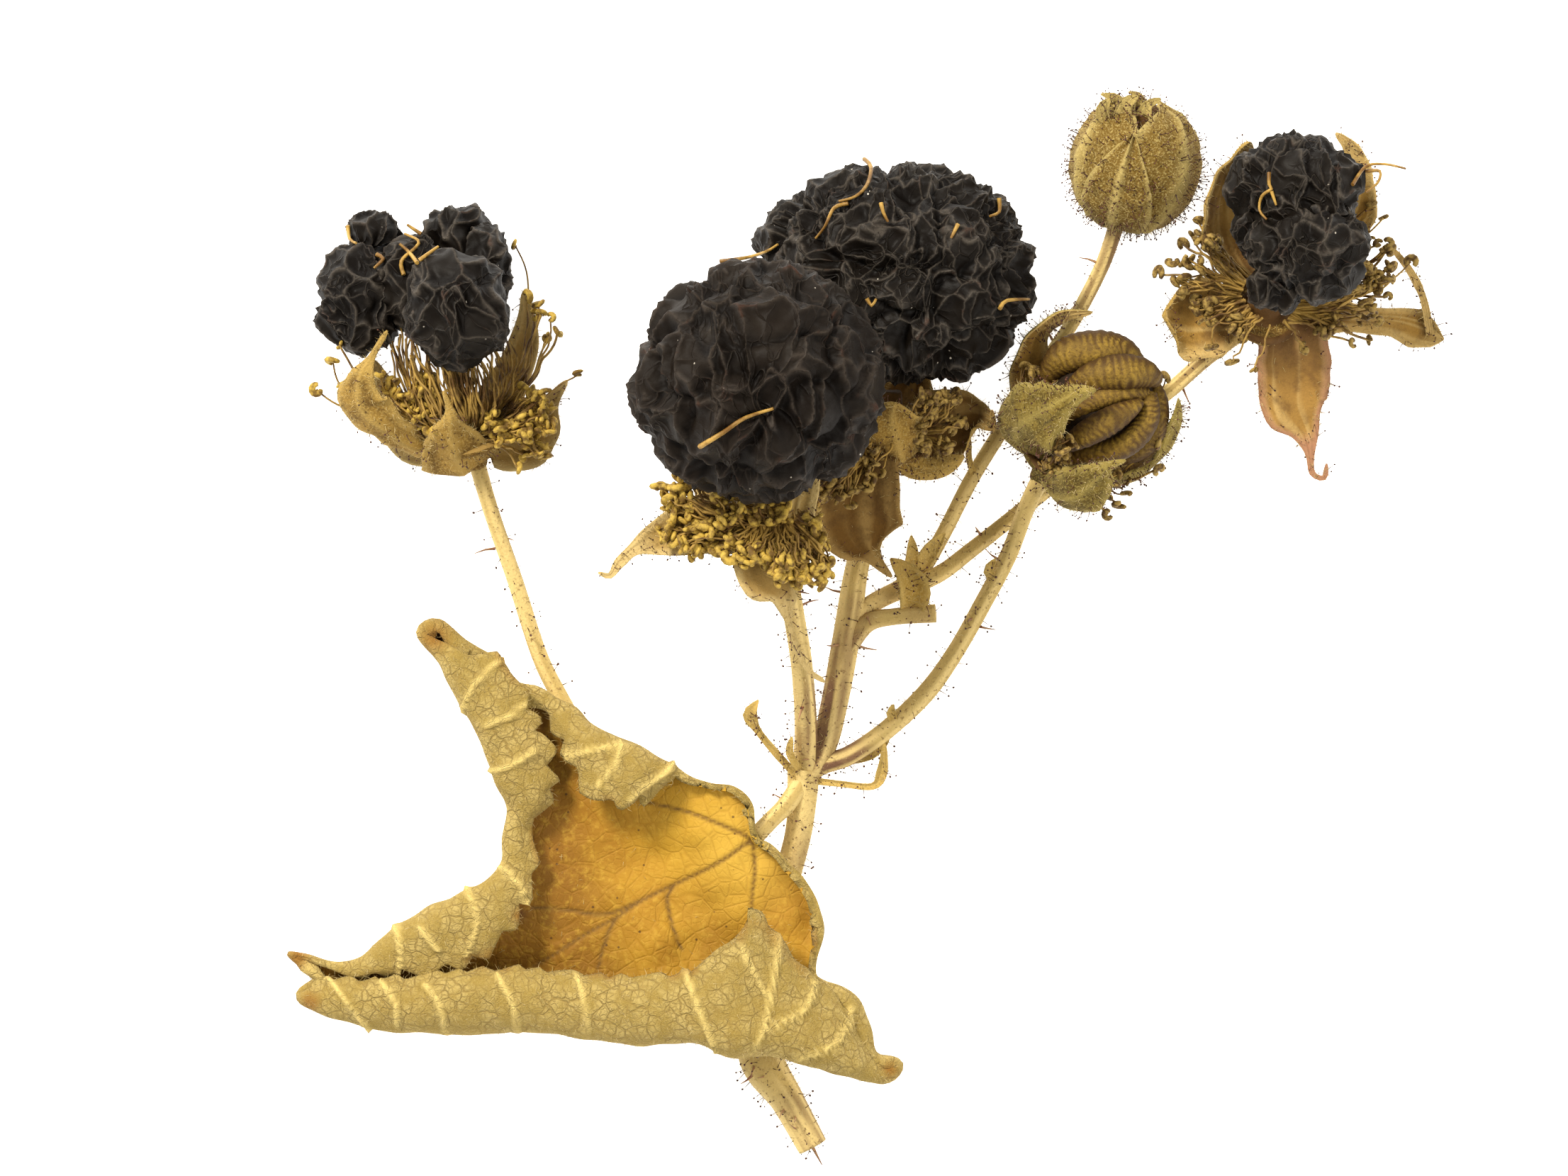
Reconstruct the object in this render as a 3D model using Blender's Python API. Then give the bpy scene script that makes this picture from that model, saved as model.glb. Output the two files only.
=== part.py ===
"""A dried sprig of dewberry, cut and lying on a flat surface.

A prickly cane carries one rolled-up leaf, four shrivelled berries in their calyces, a bud with
browned petals and a closed bud. Lengths are in millimetres, and become metres where a mesh is made.
Points are measured from the main node of the cane, where the leaf stalk, the fruit stalks and the
stipules meet: x to the right and y towards the top of the sprig seen from above, z up from the
surface that it lies on.
"""

import math
import random
from dataclasses import dataclass

import bmesh
import bpy
from mathutils import Matrix, Vector, noise
from mathutils.geometry import delaunay_2d_cdt

MM = 0.001
BLADE = 0.6  # thickness of leaf, sepals and stipules
GAP = 0.12  # clearance between one node and the next
CORE_RADIUS = 0.85  # of the pin in a calyx that its berry sits on
STEM_SIDES = 6
STEM_STEP = 1.7  # distance between the rings of a stem

# Paths of the stems, as (x, y, z, radius) from root to end.
CANE = [
    (0.4, -16.1, 0.55, 0.66), (-0.7, -14.1, 0.68, 0.72), (-1.9, -12.1, 0.95, 0.95),
    (-1.9, -9.4, 0.95, 0.66), (-1.0, -5.4, 1.05, 0.60), (-0.2, -2.4, 1.2, 0.58), (0.05, 0.3, 1.45, 0.72),
]
LEFT_STALK = [
    (-1.9, -12.1, 0.9, 0.62), (-4.1, -8.5, 0.6, 0.44), (-6.6, -4.1, 0.55, 0.40), (-9.0, 0.3, 0.6, 0.38),
    (-10.3, 2.9, 0.7, 0.37), (-11.4, 5.1, 0.9, 0.36), (-12.5, 8.5, 1.4, 0.34), (-13.5, 11.4, 1.9, 0.32),
    (-14.1, 13.4, 2.5, 0.34),
]
LEAF_STALK = [
    (0.2, 0.15, 1.5, 0.44), (-0.7, -1.2, 2.0, 0.40), (-1.4, -1.9, 2.5, 0.38), (-1.9, -2.4, 2.9, 0.40),
]
FRONT_STALK = [
    (0.05, -0.25, 1.2, 0.55), (0.1, 2.0, 2.6, 0.48), (-0.1, 4.7, 4.9, 0.46), (-0.4, 6.8, 6.9, 0.44),
    (-0.7, 8.6, 8.3, 0.46),
]
RACHIS = [
    (-0.15, -0.35, 1.35, 0.60), (0.8, 1.2, 1.6, 0.58), (1.3, 3.1, 1.9, 0.58), (1.9, 6.4, 2.3, 0.58),
    (2.3, 8.9, 2.7, 0.52), (2.9, 11.0, 3.0, 0.46), (3.4, 12.6, 3.4, 0.46),
]
STUB = [(1.8, 5.4, 2.2, 0.42), (2.7, 6.6, 2.5, 0.42), (3.9, 6.9, 2.7, 0.36), (5.7, 7.05, 2.9, 0.40)]
FORK = [(2.1, 6.8, 2.3, 0.44), (3.0, 7.5, 2.2, 0.40), (4.2, 8.1, 1.9, 0.42)]
BUD_STALK = [
    (4.0, 8.0, 2.0, 0.40), (5.1, 8.9, 1.7, 0.34), (6.0, 10.4, 1.4, 0.33), (7.3, 12.9, 1.1, 0.33),
    (8.8, 15.3, 0.9, 0.32), (10.3, 17.6, 0.9, 0.31), (11.7, 19.7, 1.3, 0.31), (12.9, 22.0, 1.8, 0.32),
    (13.35, 23.25, 2.3, 0.34),
]
RIGHT_STALK = [
    (4.0, 8.0, 2.0, 0.40), (5.8, 8.7, 1.6, 0.36), (7.3, 9.8, 1.2, 0.34), (9.7, 11.7, 0.9, 0.33),
    (12.7, 14.1, 0.75, 0.33), (15.8, 16.6, 1.0, 0.33), (17.5, 18.1, 1.4, 0.34), (19.4, 19.5, 2.1, 0.38),
]
PETAL_STALK = [
    (-0.25, -0.1, 1.45, 0.50), (0.8, 0.5, 1.5, 0.46), (2.0, 0.9, 1.6, 0.43), (3.6, 2.0, 1.6, 0.42),
    (5.3, 3.6, 1.7, 0.42), (6.6, 5.4, 1.9, 0.38), (7.8, 7.5, 2.1, 0.38), (8.9, 9.6, 2.4, 0.38),
    (9.6, 11.5, 2.9, 0.38), (10.15, 12.7, 3.4, 0.40),
]
STEMS = [
    CANE, LEFT_STALK, LEAF_STALK, FRONT_STALK, RACHIS, STUB, FORK, BUD_STALK, RIGHT_STALK, PETAL_STALK,
]

PRICKLES_PER_MM = 0.3
PRICKLE_LENGTH = (0.5, 1.0)
PRICKLE_ROOT = 0.2
PRICKLE_SEED = 12

SHARP_ANGLE = math.radians(55)  # an edge that turns more than this stays sharp to the eye
DRUPELET_DEPTH = 0.16  # of the dips between drupelets, as a share of the berry's size
FOLD_DEPTHS = (0.14, 0.05)  # of the folds of a smooth lobe, and of one with drupelets
FOLD_SIZES = (2.2, 4.5)  # how close together those folds are


@dataclass
class Lobe:
    """One body of a berry: a solid with semi-axes across, along and up, turned about the vertical."""

    centre: tuple
    semi_axes: tuple
    turn: float = 0.0
    taper: float = 0.0  # how much wider it is at its +x end than at its middle
    drupelets: int = 1
    detail: int = 3
    seed: int = 0


@dataclass
class Blade:
    """A sepal or bract, by the points (x, y, z, width) down its middle and the way its inside faces."""

    points: list
    inside: tuple = (0.0, 0.0, 1.0)
    hollow: float = 0.15  # how far its edges stand towards the inside, as a share of its width


@dataclass
class Head:
    """A calyx and its stamens, round an axis from the end of a stalk towards the berry."""

    base: tuple
    towards: tuple
    disc_at: float  # distances along the axis from the base
    collar_at: float
    core_end: float
    disc_radius: float
    sepals: list
    anthers: list  # the ends of the stamens, as (x, y, z, width), where the wide ones are bunches


STIPULES = [
    Blade([
        (-0.2, -0.1, 1.9, 0.5), (-1.2, 1.0, 2.6, 0.5), (-2.0, 2.0, 3.1, 0.5), (-2.3, 2.7, 3.4, 0.7),
        (-1.95, 3.3, 3.7, 0.42),
    ]),
    Blade([
        (0.3, -0.2, 1.6, 0.5), (1.6, -0.35, 1.7, 0.45), (3.0, -0.45, 1.8, 0.5), (3.4, 0.2, 2.1, 0.6),
        (3.5, 1.4, 2.6, 0.42),
    ]),
    Blade([(-0.2, 0.3, 2.2, 0.5), (-0.6, 1.0, 2.8, 0.5), (-0.5, 1.7, 3.3, 0.42)]),
    Blade([(4.6, 7.0, 2.7, 0.9), (4.8, 8.0, 3.3, 1.3), (4.4, 8.8, 3.3, 1.0), (3.75, 9.4, 3.0, 0.42)]),
    Blade([(4.5, 8.3, 1.9, 0.6), (4.7, 9.4, 2.6, 0.7), (4.65, 10.4, 3.0, 0.42)]),
    Blade([(5.0, 8.7, 2.0, 0.6), (5.4, 9.6, 2.4, 0.8), (6.1, 10.5, 2.2, 0.42)]),
    Blade([(7.4, 13.0, 1.2, 0.5), (7.15, 13.8, 1.7, 0.45), (7.2, 14.6, 2.0, 0.42)]),
    Blade([(8.3, 8.4, 2.3, 0.5), (8.0, 8.9, 2.6, 0.6), (8.3, 9.4, 2.8, 0.42)]),
    Blade([(3.9, 2.3, 1.7, 0.5), (3.8, 2.8, 2.1, 0.6), (3.9, 3.1, 2.3, 0.42)]),
    Blade([(1.8, 0.6, 1.5, 0.5), (3.0, 0.9, 1.4, 0.5), (3.7, 1.6, 1.5, 0.42)]),
]

FRONT_BERRY = [Lobe((-1.9, 16.9, 12.6), (5.6, 5.3, 5.3), drupelets=44, detail=4, seed=3)]
BACK_BERRY = [Lobe((3.9, 21.9, 4.75), (6.3, 4.9, 5.1), -14, 0.16, drupelets=48, detail=4, seed=8)]
LEFT_BERRY = [
    Lobe((-16.6, 21.2, 3.9), (2.2, 2.2, 2.4), detail=2, seed=21),
    Lobe((-14.9, 20.1, 6.4), (2.6, 2.8, 2.3), seed=22),
    Lobe((-19.2, 20.5, 3.8), (2.1, 2.6, 2.2), seed=23),
    Lobe((-18.6, 23.4, 1.7), (1.6, 1.3, 2.0), detail=2, seed=24),
    Lobe((-15.0, 23.2, 2.2), (1.8, 1.9, 2.3), detail=2, seed=25),
    Lobe((-13.7, 22.1, 3.4), (1.35, 2.1, 1.9), detail=2, seed=26),
]
RIGHT_BERRY = [
    Lobe((21.1, 25.3, 7.0), (3.1, 2.6, 2.5), seed=31),
    Lobe((21.7, 22.6, 8.0), (2.8, 2.5, 2.4), seed=32),
    Lobe((20.4, 21.1, 7.2), (1.5, 1.5, 1.7), detail=2, seed=33),
]

FRONT_HEAD = Head(
    (-0.7, 8.75, 8.4), (-1.9, 16.9, 12.6), 1.9, 2.6, 3.7, 1.8,
    [
        Blade([
            (-1.7, 9.7, 9.7, 2.8), (-1.5, 8.8, 9.7, 2.7), (-0.9, 7.9, 9.3, 1.4), (-0.75, 7.1, 8.5, 0.6),
            (-0.4, 5.9, 7.3, 0.45), (0.1, 4.7, 6.3, 0.42), (0.9, 4.1, 5.8, 0.42),
        ]),
        Blade([
            (-2.0, 10.3, 8.9, 1.8), (-4.2, 10.8, 8.1, 2.6), (-5.8, 10.4, 8.0, 1.9), (-7.1, 9.9, 8.0, 0.8),
            (-7.9, 9.2, 8.1, 0.6), (-8.3, 8.65, 8.3, 0.45), (-8.8, 8.8, 8.5, 0.42),
        ]),
        Blade([(0.2, 10.5, 8.9, 1.8), (1.2, 11.7, 8.6, 2.2), (1.9, 13.0, 8.6, 1.4), (2.2, 13.9, 8.8, 0.45)]),
        Blade([(-2.0, 10.9, 8.3, 1.8), (-3.3, 12.4, 7.2, 2.4), (-4.4, 13.8, 6.6, 1.4), (-5.0, 14.8, 6.4, 0.45)]),
        Blade([(-0.8, 10.9, 8.0, 1.8), (-0.7, 12.7, 6.9, 2.4), (-0.6, 14.3, 6.2, 1.4), (-0.6, 15.4, 6.0, 0.45)]),
    ],
    [
        (-6.0, 12.3, 9.6, 0.55), (-5.3, 12.4, 10.0, 1.0), (-5.5, 11.4, 9.5, 1.0), (-5.7, 10.4, 9.4, 1.1),
        (-4.8, 9.9, 9.8, 1.1), (-4.3, 11.0, 10.2, 1.3), (-3.6, 10.1, 10.2, 1.2), (-2.6, 9.7, 10.8, 1.2),
        (-1.6, 9.3, 11.0, 1.3), (-0.6, 8.9, 10.9, 1.2), (0.4, 8.8, 10.5, 1.2), (1.1, 8.9, 10.0, 0.9),
        (1.0, 9.9, 9.9, 1.2), (1.1, 10.8, 9.8, 0.9), (-3.3, 11.5, 10.6, 1.2),
    ],
)
BACK_HEAD = Head(
    (3.4, 12.7, 3.4), (3.9, 21.9, 5.0), 1.5, 2.1, 4.0, 1.8,
    [
        Blade([
            (3.1, 13.9, 5.2, 2.6), (2.6, 12.7, 5.6, 3.6), (2.3, 11.3, 5.3, 4.0), (2.3, 10.2, 4.9, 3.4),
            (2.8, 9.6, 4.6, 1.2), (3.3, 9.1, 4.4, 0.6), (3.6, 8.7, 4.4, 0.45),
        ], hollow=0.22),
        Blade([
            (4.1, 13.9, 5.0, 1.4), (4.05, 14.8, 5.9, 1.9), (4.0, 15.6, 6.4, 1.7), (4.2, 16.2, 6.6, 0.5),
        ], inside=(0, 0, -1)),
        Blade([
            (4.6, 14.4, 3.4, 2.2), (5.7, 15.0, 3.2, 3.2), (6.9, 15.4, 3.5, 2.9), (7.7, 15.4, 4.1, 1.4),
            (8.1, 15.1, 4.9, 0.6), (8.1, 15.8, 5.5, 0.42),
        ], hollow=0.2),
        Blade([(4.3, 14.0, 4.3, 1.4), (5.0, 13.3, 4.5, 1.3), (5.9, 13.3, 4.7, 1.0), (6.7, 13.8, 4.9, 0.5)]),
        Blade([(3.9, 14.4, 2.4, 2.2), (4.4, 16.0, 1.3, 2.6), (4.8, 17.4, 0.5, 1.4), (5.0, 18.4, 0.35, 0.45)]),
        Blade([(2.5, 14.2, 3.2, 2.2), (1.2, 14.9, 2.9, 2.6), (0.0, 15.5, 3.0, 1.6), (-0.9, 15.8, 3.4, 0.45)]),
    ],
    [
        (5.3, 14.2, 5.6, 1.1), (6.1, 14.3, 5.3, 1.0), (6.6, 15.2, 5.0, 1.0), (6.5, 16.2, 5.3, 0.9),
        (5.5, 15.4, 6.0, 1.1), (6.0, 16.3, 6.1, 0.9), (5.0, 16.3, 6.3, 0.9), (3.0, 14.4, 6.6, 1.0),
        (2.6, 13.5, 6.9, 1.1), (0.9, 12.4, 6.9, 1.2), (1.6, 11.7, 6.8, 1.2), (2.6, 12.1, 6.8, 1.1),
        (3.3, 12.7, 6.6, 0.9), (0.4, 11.6, 6.6, 0.8),
    ],
)
RIGHT_HEAD = Head(
    (19.4, 19.6, 2.2), (21.4, 22.8, 7.4), 1.3, 1.9, 3.4, 1.7,
    [
        Blade([
            (20.6, 20.0, 3.3, 2.6), (21.1, 18.9, 3.0, 3.0), (21.2, 17.3, 2.4, 3.2),
            (21.2, 16.0, 2.1, 2.8), (21.7, 14.9, 2.0, 1.4), (21.9, 14.0, 2.2, 0.6),
            (22.0, 13.1, 2.4, 0.45), (22.5, 12.9, 2.7, 0.42), (22.6, 13.5, 2.9, 0.42),
        ], hollow=0.08),
        Blade([
            (19.0, 19.9, 2.9, 2.2), (18.0, 19.8, 2.4, 3.4), (16.8, 19.8, 2.4, 3.8),
            (15.9, 19.9, 2.9, 3.0), (15.6, 19.9, 3.6, 1.6),
        ], hollow=0.22),
        Blade([
            (19.3, 21.2, 3.2, 1.8), (18.3, 22.6, 3.3, 2.3), (17.8, 24.2, 3.7, 2.2),
            (18.2, 25.7, 4.3, 1.7), (18.8, 26.8, 5.0, 1.2), (19.2, 27.3, 5.6, 0.6),
        ], inside=(0.6, -0.2, 0.8)),
        Blade([
            (20.8, 20.4, 3.0, 1.6), (22.8, 20.0, 2.4, 1.7), (24.4, 19.7, 2.1, 1.1),
            (25.6, 19.6, 2.0, 1.4), (26.6, 19.3, 2.0, 1.6), (27.3, 19.0, 2.1, 1.0),
            (27.7, 18.9, 2.2, 0.45),
        ]),
        Blade([(27.1, 19.1, 2.1, 0.5), (26.8, 20.6, 2.7, 0.5), (26.2, 21.8, 3.2, 0.5), (25.4, 22.8, 3.6, 0.42)]),
        Blade([
            (20.6, 21.6, 3.2, 1.8), (22.7, 22.9, 3.3, 2.1), (23.8, 24.3, 3.9, 1.8),
            (24.0, 25.8, 4.4, 1.2), (23.6, 27.0, 5.0, 0.8), (22.9, 27.7, 5.4, 0.45),
        ]),
    ],
    [
        (15.4, 21.7, 4.6, 0.5), (15.9, 22.2, 4.7, 0.45), (16.4, 22.9, 4.9, 0.6), (17.0, 23.7, 5.3, 0.6),
        (16.7, 22.2, 4.8, 0.8), (17.5, 23.0, 5.2, 0.9), (16.4, 21.1, 4.4, 0.8), (17.3, 20.1, 4.2, 1.0),
        (17.6, 18.6, 4.5, 0.6), (18.6, 19.4, 4.5, 0.9), (18.5, 17.9, 4.3, 0.6), (19.4, 17.5, 4.2, 0.55),
        (21.6, 18.6, 4.2, 0.5), (22.6, 19.4, 4.2, 0.9), (23.7, 18.7, 3.9, 0.6), (24.4, 18.8, 3.8, 0.55),
        (24.3, 20.1, 4.0, 1.0), (25.2, 20.8, 4.0, 0.6), (24.9, 21.6, 4.5, 1.0), (25.1, 22.8, 5.0, 0.7),
        (24.2, 22.3, 5.2, 1.1),
    ],
)
LEFT_HEAD = Head(
    (-14.1, 13.5, 2.6), (-16.0, 20.6, 4.6), 1.1, 3.7, 5.2, 1.6,
    [
        Blade([
            (-14.7, 13.2, 3.1, 3.6), (-15.0, 13.9, 4.2, 3.0), (-15.2, 14.8, 5.1, 1.7),
            (-15.2, 15.7, 5.6, 0.6), (-15.5, 16.6, 5.9, 0.42),
        ], inside=(0, 0.4, -1)),
        Blade([
            (-15.3, 14.0, 2.6, 1.4), (-16.9, 14.3, 3.6, 1.6), (-18.1, 15.0, 4.6, 2.0),
            (-19.1, 15.9, 5.1, 2.6), (-19.1, 16.9, 5.5, 1.6), (-18.7, 17.9, 5.8, 0.6),
            (-17.9, 19.2, 6.0, 0.42),
        ], inside=(0.5, 0.3, -0.8)),
        Blade([
            (-15.2, 14.2, 2.0, 1.6), (-16.9, 14.3, 1.5, 1.7), (-17.8, 15.7, 1.1, 1.8),
            (-18.3, 17.0, 0.9, 1.0), (-18.6, 18.0, 0.9, 0.45),
        ]),
        Blade([
            (-13.6, 14.1, 2.5, 1.6), (-12.4, 14.5, 2.3, 2.8), (-11.5, 15.3, 2.5, 2.4),
            (-10.9, 16.2, 3.0, 0.9), (-10.2, 17.1, 3.6, 0.42),
        ]),
        Blade([
            (-14.1, 14.8, 2.2, 1.8), (-12.9, 16.8, 1.6, 1.8), (-12.2, 18.4, 1.5, 1.4),
            (-12.0, 19.8, 1.6, 0.9), (-12.1, 21.0, 2.0, 0.45),
        ]),
    ],
    [
        (-16.4, 15.5, 4.6, 1.2), (-17.2, 16.0, 4.3, 1.2), (-16.4, 16.6, 5.0, 1.2),
        (-18.0, 17.0, 4.2, 0.8), (-13.5, 15.2, 4.6, 0.9), (-12.5, 14.9, 4.3, 1.3),
        (-11.4, 15.4, 4.3, 1.2), (-11.5, 14.3, 4.0, 1.0), (-12.3, 13.4, 3.9, 0.65),
        (-11.6, 16.4, 4.4, 1.0), (-11.2, 18.9, 4.0, 0.7), (-10.8, 19.6, 4.2, 0.7),
        (-11.4, 20.4, 4.4, 0.55), (-9.8, 17.4, 4.0, 0.5), (-20.1, 17.9, 3.2, 0.6),
        (-20.1, 16.9, 2.9, 0.5),
    ],
)
PETAL_HEAD = Head(
    (10.2, 12.8, 3.5), (12.8, 15.9, 4.9), 0.9, 0.9, 0.95, 1.3,
    [
        Blade([
            (10.3, 13.8, 4.4, 1.6), (9.3, 14.6, 5.6, 3.0), (9.6, 15.3, 7.2, 3.2), (10.6, 15.9, 8.4, 2.1),
            (11.6, 16.4, 8.8, 1.0), (12.5, 16.6, 9.0, 0.45),
        ], inside=(0.6, 0.2, -0.8)),
        Blade([
            (10.5, 12.9, 4.4, 1.4), (10.9, 12.1, 5.6, 2.1), (11.8, 12.2, 6.8, 2.4),
            (12.5, 12.7, 7.6, 1.8), (13.0, 13.3, 8.0, 0.7), (13.8, 13.6, 8.1, 0.45),
        ], inside=(0.3, 0.6, -0.7)),
        Blade([
            (11.3, 13.1, 3.8, 1.6), (13.4, 12.7, 3.4, 2.4), (15.0, 13.4, 3.6, 2.4),
            (15.9, 14.6, 4.4, 1.8), (16.05, 15.5, 5.2, 1.0), (16.1, 16.3, 5.9, 0.45),
        ], inside=(-0.7, 0.7, 0.2)),
        Blade([
            (10.5, 13.8, 3.8, 1.6), (9.6, 16.2, 3.5, 2.0), (9.6, 17.8, 4.0, 1.9), (10.0, 19.1, 4.6, 1.4),
            (11.1, 19.9, 5.5, 0.8), (12.4, 20.0, 6.2, 0.45),
        ], inside=(0.6, -0.5, 0.8)),
        Blade([
            (11.2, 14.4, 2.9, 1.8), (12.4, 15.4, 2.1, 2.4), (13.8, 17.0, 2.1, 2.1),
            (14.8, 18.0, 2.6, 0.7),
        ]),
    ],
    [],
)

PETALS = [
    Lobe((12.9, 16.0, 5.0), (2.2, 2.2, 2.0), seed=51),
    Lobe((12.6, 18.2, 5.0), (2.1, 1.0, 1.6), -4, seed=52),
    Lobe((13.2, 17.5, 6.4), (2.3, 0.85, 1.2), 4, detail=2, seed=53),
    Lobe((12.8, 15.2, 7.0), (1.75, 0.7, 0.9), 30, detail=2, seed=54),
    Lobe((13.4, 14.2, 5.8), (1.7, 0.7, 1.2), 20, detail=2, seed=55),
    Lobe((14.7, 15.7, 5.8), (0.7, 1.7, 1.3), -12, detail=2, seed=56),
]
BUD_CENTRE = (14.3, 26.45, 3.15)
BUD_BASE = (13.6, 23.9, 2.7)
BUD_RADIUS = 2.75
BUD_LENGTH = 2.95

# The leaf's outline seen from above, from its stalk round by the upper lobe, the long lobe on the
# left and the lower lobe. Each station holds the folded edge (x, y), the end of the flap that is
# rolled in over the blade there (x, y), the height of the blade and the radius of the roll.
LEAF_STATIONS = [
    (-2.1, -2.7, -2.5, -2.9, 3.2, 0.36), (-2.5, -1.3, -2.8, -1.6, 3.4, 0.36),
    (-3.1, -0.6, -3.3, -0.9, 3.4, 0.36), (-4.2, -0.4, -4.3, -0.8, 3.3, 0.40),
    (-5.8, 0.3, -6.1, -0.7, 3.1, 0.50), (-7.0, 1.1, -7.5, -1.1, 2.9, 0.80),
    (-8.1, 1.5, -9.0, -0.8, 2.7, 0.85), (-9.3, 2.1, -10.2, 0.2, 2.5, 0.80),
    (-10.1, 2.9, -11.0, 1.3, 2.4, 0.70), (-11.2, 3.6, -11.6, 2.7, 2.4, 0.50),
    (-12.4, 4.1, -12.6, 3.8, 2.5, 0.36), (-13.3, 5.0, -13.5, 4.7, 2.7, 0.36),
    (-14.7, 5.7, -14.8, 5.4, 3.0, 0.36), (-15.4, 6.3, -15.4, 5.9, 3.2, 0.36),
    (-16.3, 6.1, -16.0, 5.8, 3.3, 0.36), (-15.9, 5.3, -15.4, 5.5, 3.1, 0.40),
    (-15.4, 4.7, -14.5, 5.2, 2.9, 0.58), (-15.0, 3.7, -13.1, 5.0, 2.7, 0.74),
    (-14.4, 2.7, -12.3, 3.7, 2.6, 0.80), (-13.5, 1.0, -11.2, 1.5, 2.3, 0.85),
    (-13.2, -0.2, -11.0, 0.4, 2.2, 0.85), (-12.7, -1.4, -11.0, -0.8, 2.1, 0.75),
    (-12.9, -2.6, -11.9, -2.5, 2.0, 0.60), (-13.1, -3.8, -11.8, -4.4, 1.9, 0.65),
    (-14.4, -4.8, -12.7, -6.4, 1.7, 0.85), (-15.9, -5.7, -14.0, -7.7, 1.4, 0.90),
    (-17.5, -6.6, -16.3, -8.3, 1.1, 0.80), (-19.6, -8.2, -19.3, -8.5, 0.8, 0.40),
    (-22.1, -7.8, -21.7, -8.0, 0.8, 0.36), (-21.2, -9.0, -20.9, -9.0, 0.6, 0.36),
    (-21.6, -9.5, -21.2, -9.3, 0.6, 0.36), (-21.2, -10.0, -20.6, -8.9, 0.5, 0.45),
    (-18.8, -10.8, -18.7, -8.9, 0.4, 0.90), (-15.6, -11.0, -15.4, -8.6, 0.5, 1.30),
    (-12.5, -11.0, -12.5, -8.4, 0.9, 1.35), (-9.5, -11.3, -9.5, -8.6, 1.3, 1.38),
    (-6.9, -11.5, -7.0, -8.7, 1.8, 1.38), (-4.8, -11.5, -4.8, -8.4, 2.3, 1.38),
    (-3.0, -12.1, -2.5, -6.5, 2.5, 1.35), (-2.1, -12.1, -2.2, -5.7, 2.5, 1.30),
    (-0.7, -12.2, -1.2, -6.9, 2.4, 1.20), (0.7, -12.4, -0.3, -8.1, 2.3, 1.00),
    (2.2, -12.9, 1.3, -9.5, 2.1, 0.75), (3.4, -13.1, 3.0, -12.0, 1.9, 0.45),
    (3.9, -12.6, 3.5, -12.6, 1.9, 0.36), (3.0, -12.1, 2.7, -12.2, 1.9, 0.36),
    (2.2, -9.8, 1.9, -10.1, 2.1, 0.36), (0.8, -9.0, 0.6, -9.3, 2.2, 0.36),
    (0.4, -8.3, 0.1, -8.4, 2.4, 0.40), (0.5, -6.4, 0.1, -6.5, 2.5, 0.45),
    (0.1, -5.1, -0.2, -5.2, 2.7, 0.40), (-0.7, -4.0, -1.0, -4.2, 2.9, 0.36),
    (-1.6, -3.1, -1.9, -3.4, 3.1, 0.36),
]
LEAF_HOLLOW = (-7.4, -4.9, 1.75)  # the lowest place of the blade's middle: x, y and height
LEAF_STEP = 1.3  # distance between the points along the edge
FLOOR_STEP = 1.9  # distance between the points over the blade's middle


def mm_vector(values):
    """The first three values, in millimetres, as a vector."""
    return Vector(values[:3])


def catmull_rom(before, start, end, after, share):
    """The point at share of the way from start to end, on a smooth curve through all four."""
    return tuple(
        0.5 * (
            2 * b + (c - a) * share + (2 * a - 5 * b + 4 * c - d) * share ** 2
            + (3 * b - a - 3 * c + d) * share ** 3
        )
        for a, b, c, d in zip(before, start, end, after)
    )


def smooth_path(points, step):
    """Points about step apart on a smooth curve through points, whose extra values it follows too."""
    path = []
    for i in range(len(points) - 1):
        before, after = points[max(i - 1, 0)], points[min(i + 2, len(points) - 1)]
        start, end = points[i], points[i + 1]
        pieces = max(1, round((mm_vector(end) - mm_vector(start)).length / step))
        path += [catmull_rom(before, start, end, after, k / pieces) for k in range(pieces)]
    return path + [tuple(points[-1])]


def loft(mesh, rings):
    """Joins rings of the same number of points into one closed body."""
    rows = [[mesh.verts.new(point) for point in ring] for ring in rings]
    count = len(rows[0])
    for row, following in zip(rows, rows[1:]):
        for k in range(count):
            mesh.faces.new((row[k], row[(k + 1) % count], following[(k + 1) % count], following[k]))
    mesh.faces.new(list(reversed(rows[0])))
    mesh.faces.new(rows[-1])


def section_frames(points):
    """A pair of directions across the path at each point, turning as little as they can."""
    frames = []
    side = None
    for i, point in enumerate(points):
        ahead = (points[min(i + 1, len(points) - 1)] - points[max(i - 1, 0)]).normalized()
        if side is None:
            side = ahead.orthogonal().normalized()
        side = (side - ahead * side.dot(ahead)).normalized()
        frames.append((side, ahead.cross(side)))
    return frames


def tube(path, sides):
    """A mesh for a round stem along path, whose points carry their radius."""
    mesh = bmesh.new()
    points = [mm_vector(p) for p in path]
    rings = []
    for point, (side, up), values in zip(points, section_frames(points), path):
        angles = [2 * math.pi * k / sides for k in range(sides)]
        rings.append([point + values[3] * (side * math.cos(a) + up * math.sin(a)) for a in angles])
    loft(mesh, rings)
    return mesh


def blade_mesh(blade):
    """A mesh for a sepal or bract, with its edges turned a little towards its inside."""
    mesh = bmesh.new()
    spine = [mm_vector(p) for p in blade.points]
    rings = []
    for i, (point, values) in enumerate(zip(spine, blade.points)):
        ahead = (spine[min(i + 1, len(spine) - 1)] - spine[max(i - 1, 0)]).normalized()
        side = ahead.cross(Vector(blade.inside)).normalized()
        inwards = side.cross(ahead)
        across, deep = side * values[3] / 2, inwards * BLADE / 2
        edge = inwards * blade.hollow * values[3]
        rings.append([
            point - across + edge + deep, point + deep, point + across + edge + deep,
            point + across + edge - deep, point - deep, point - across + edge - deep,
        ])
    loft(mesh, rings)
    return mesh


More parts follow.
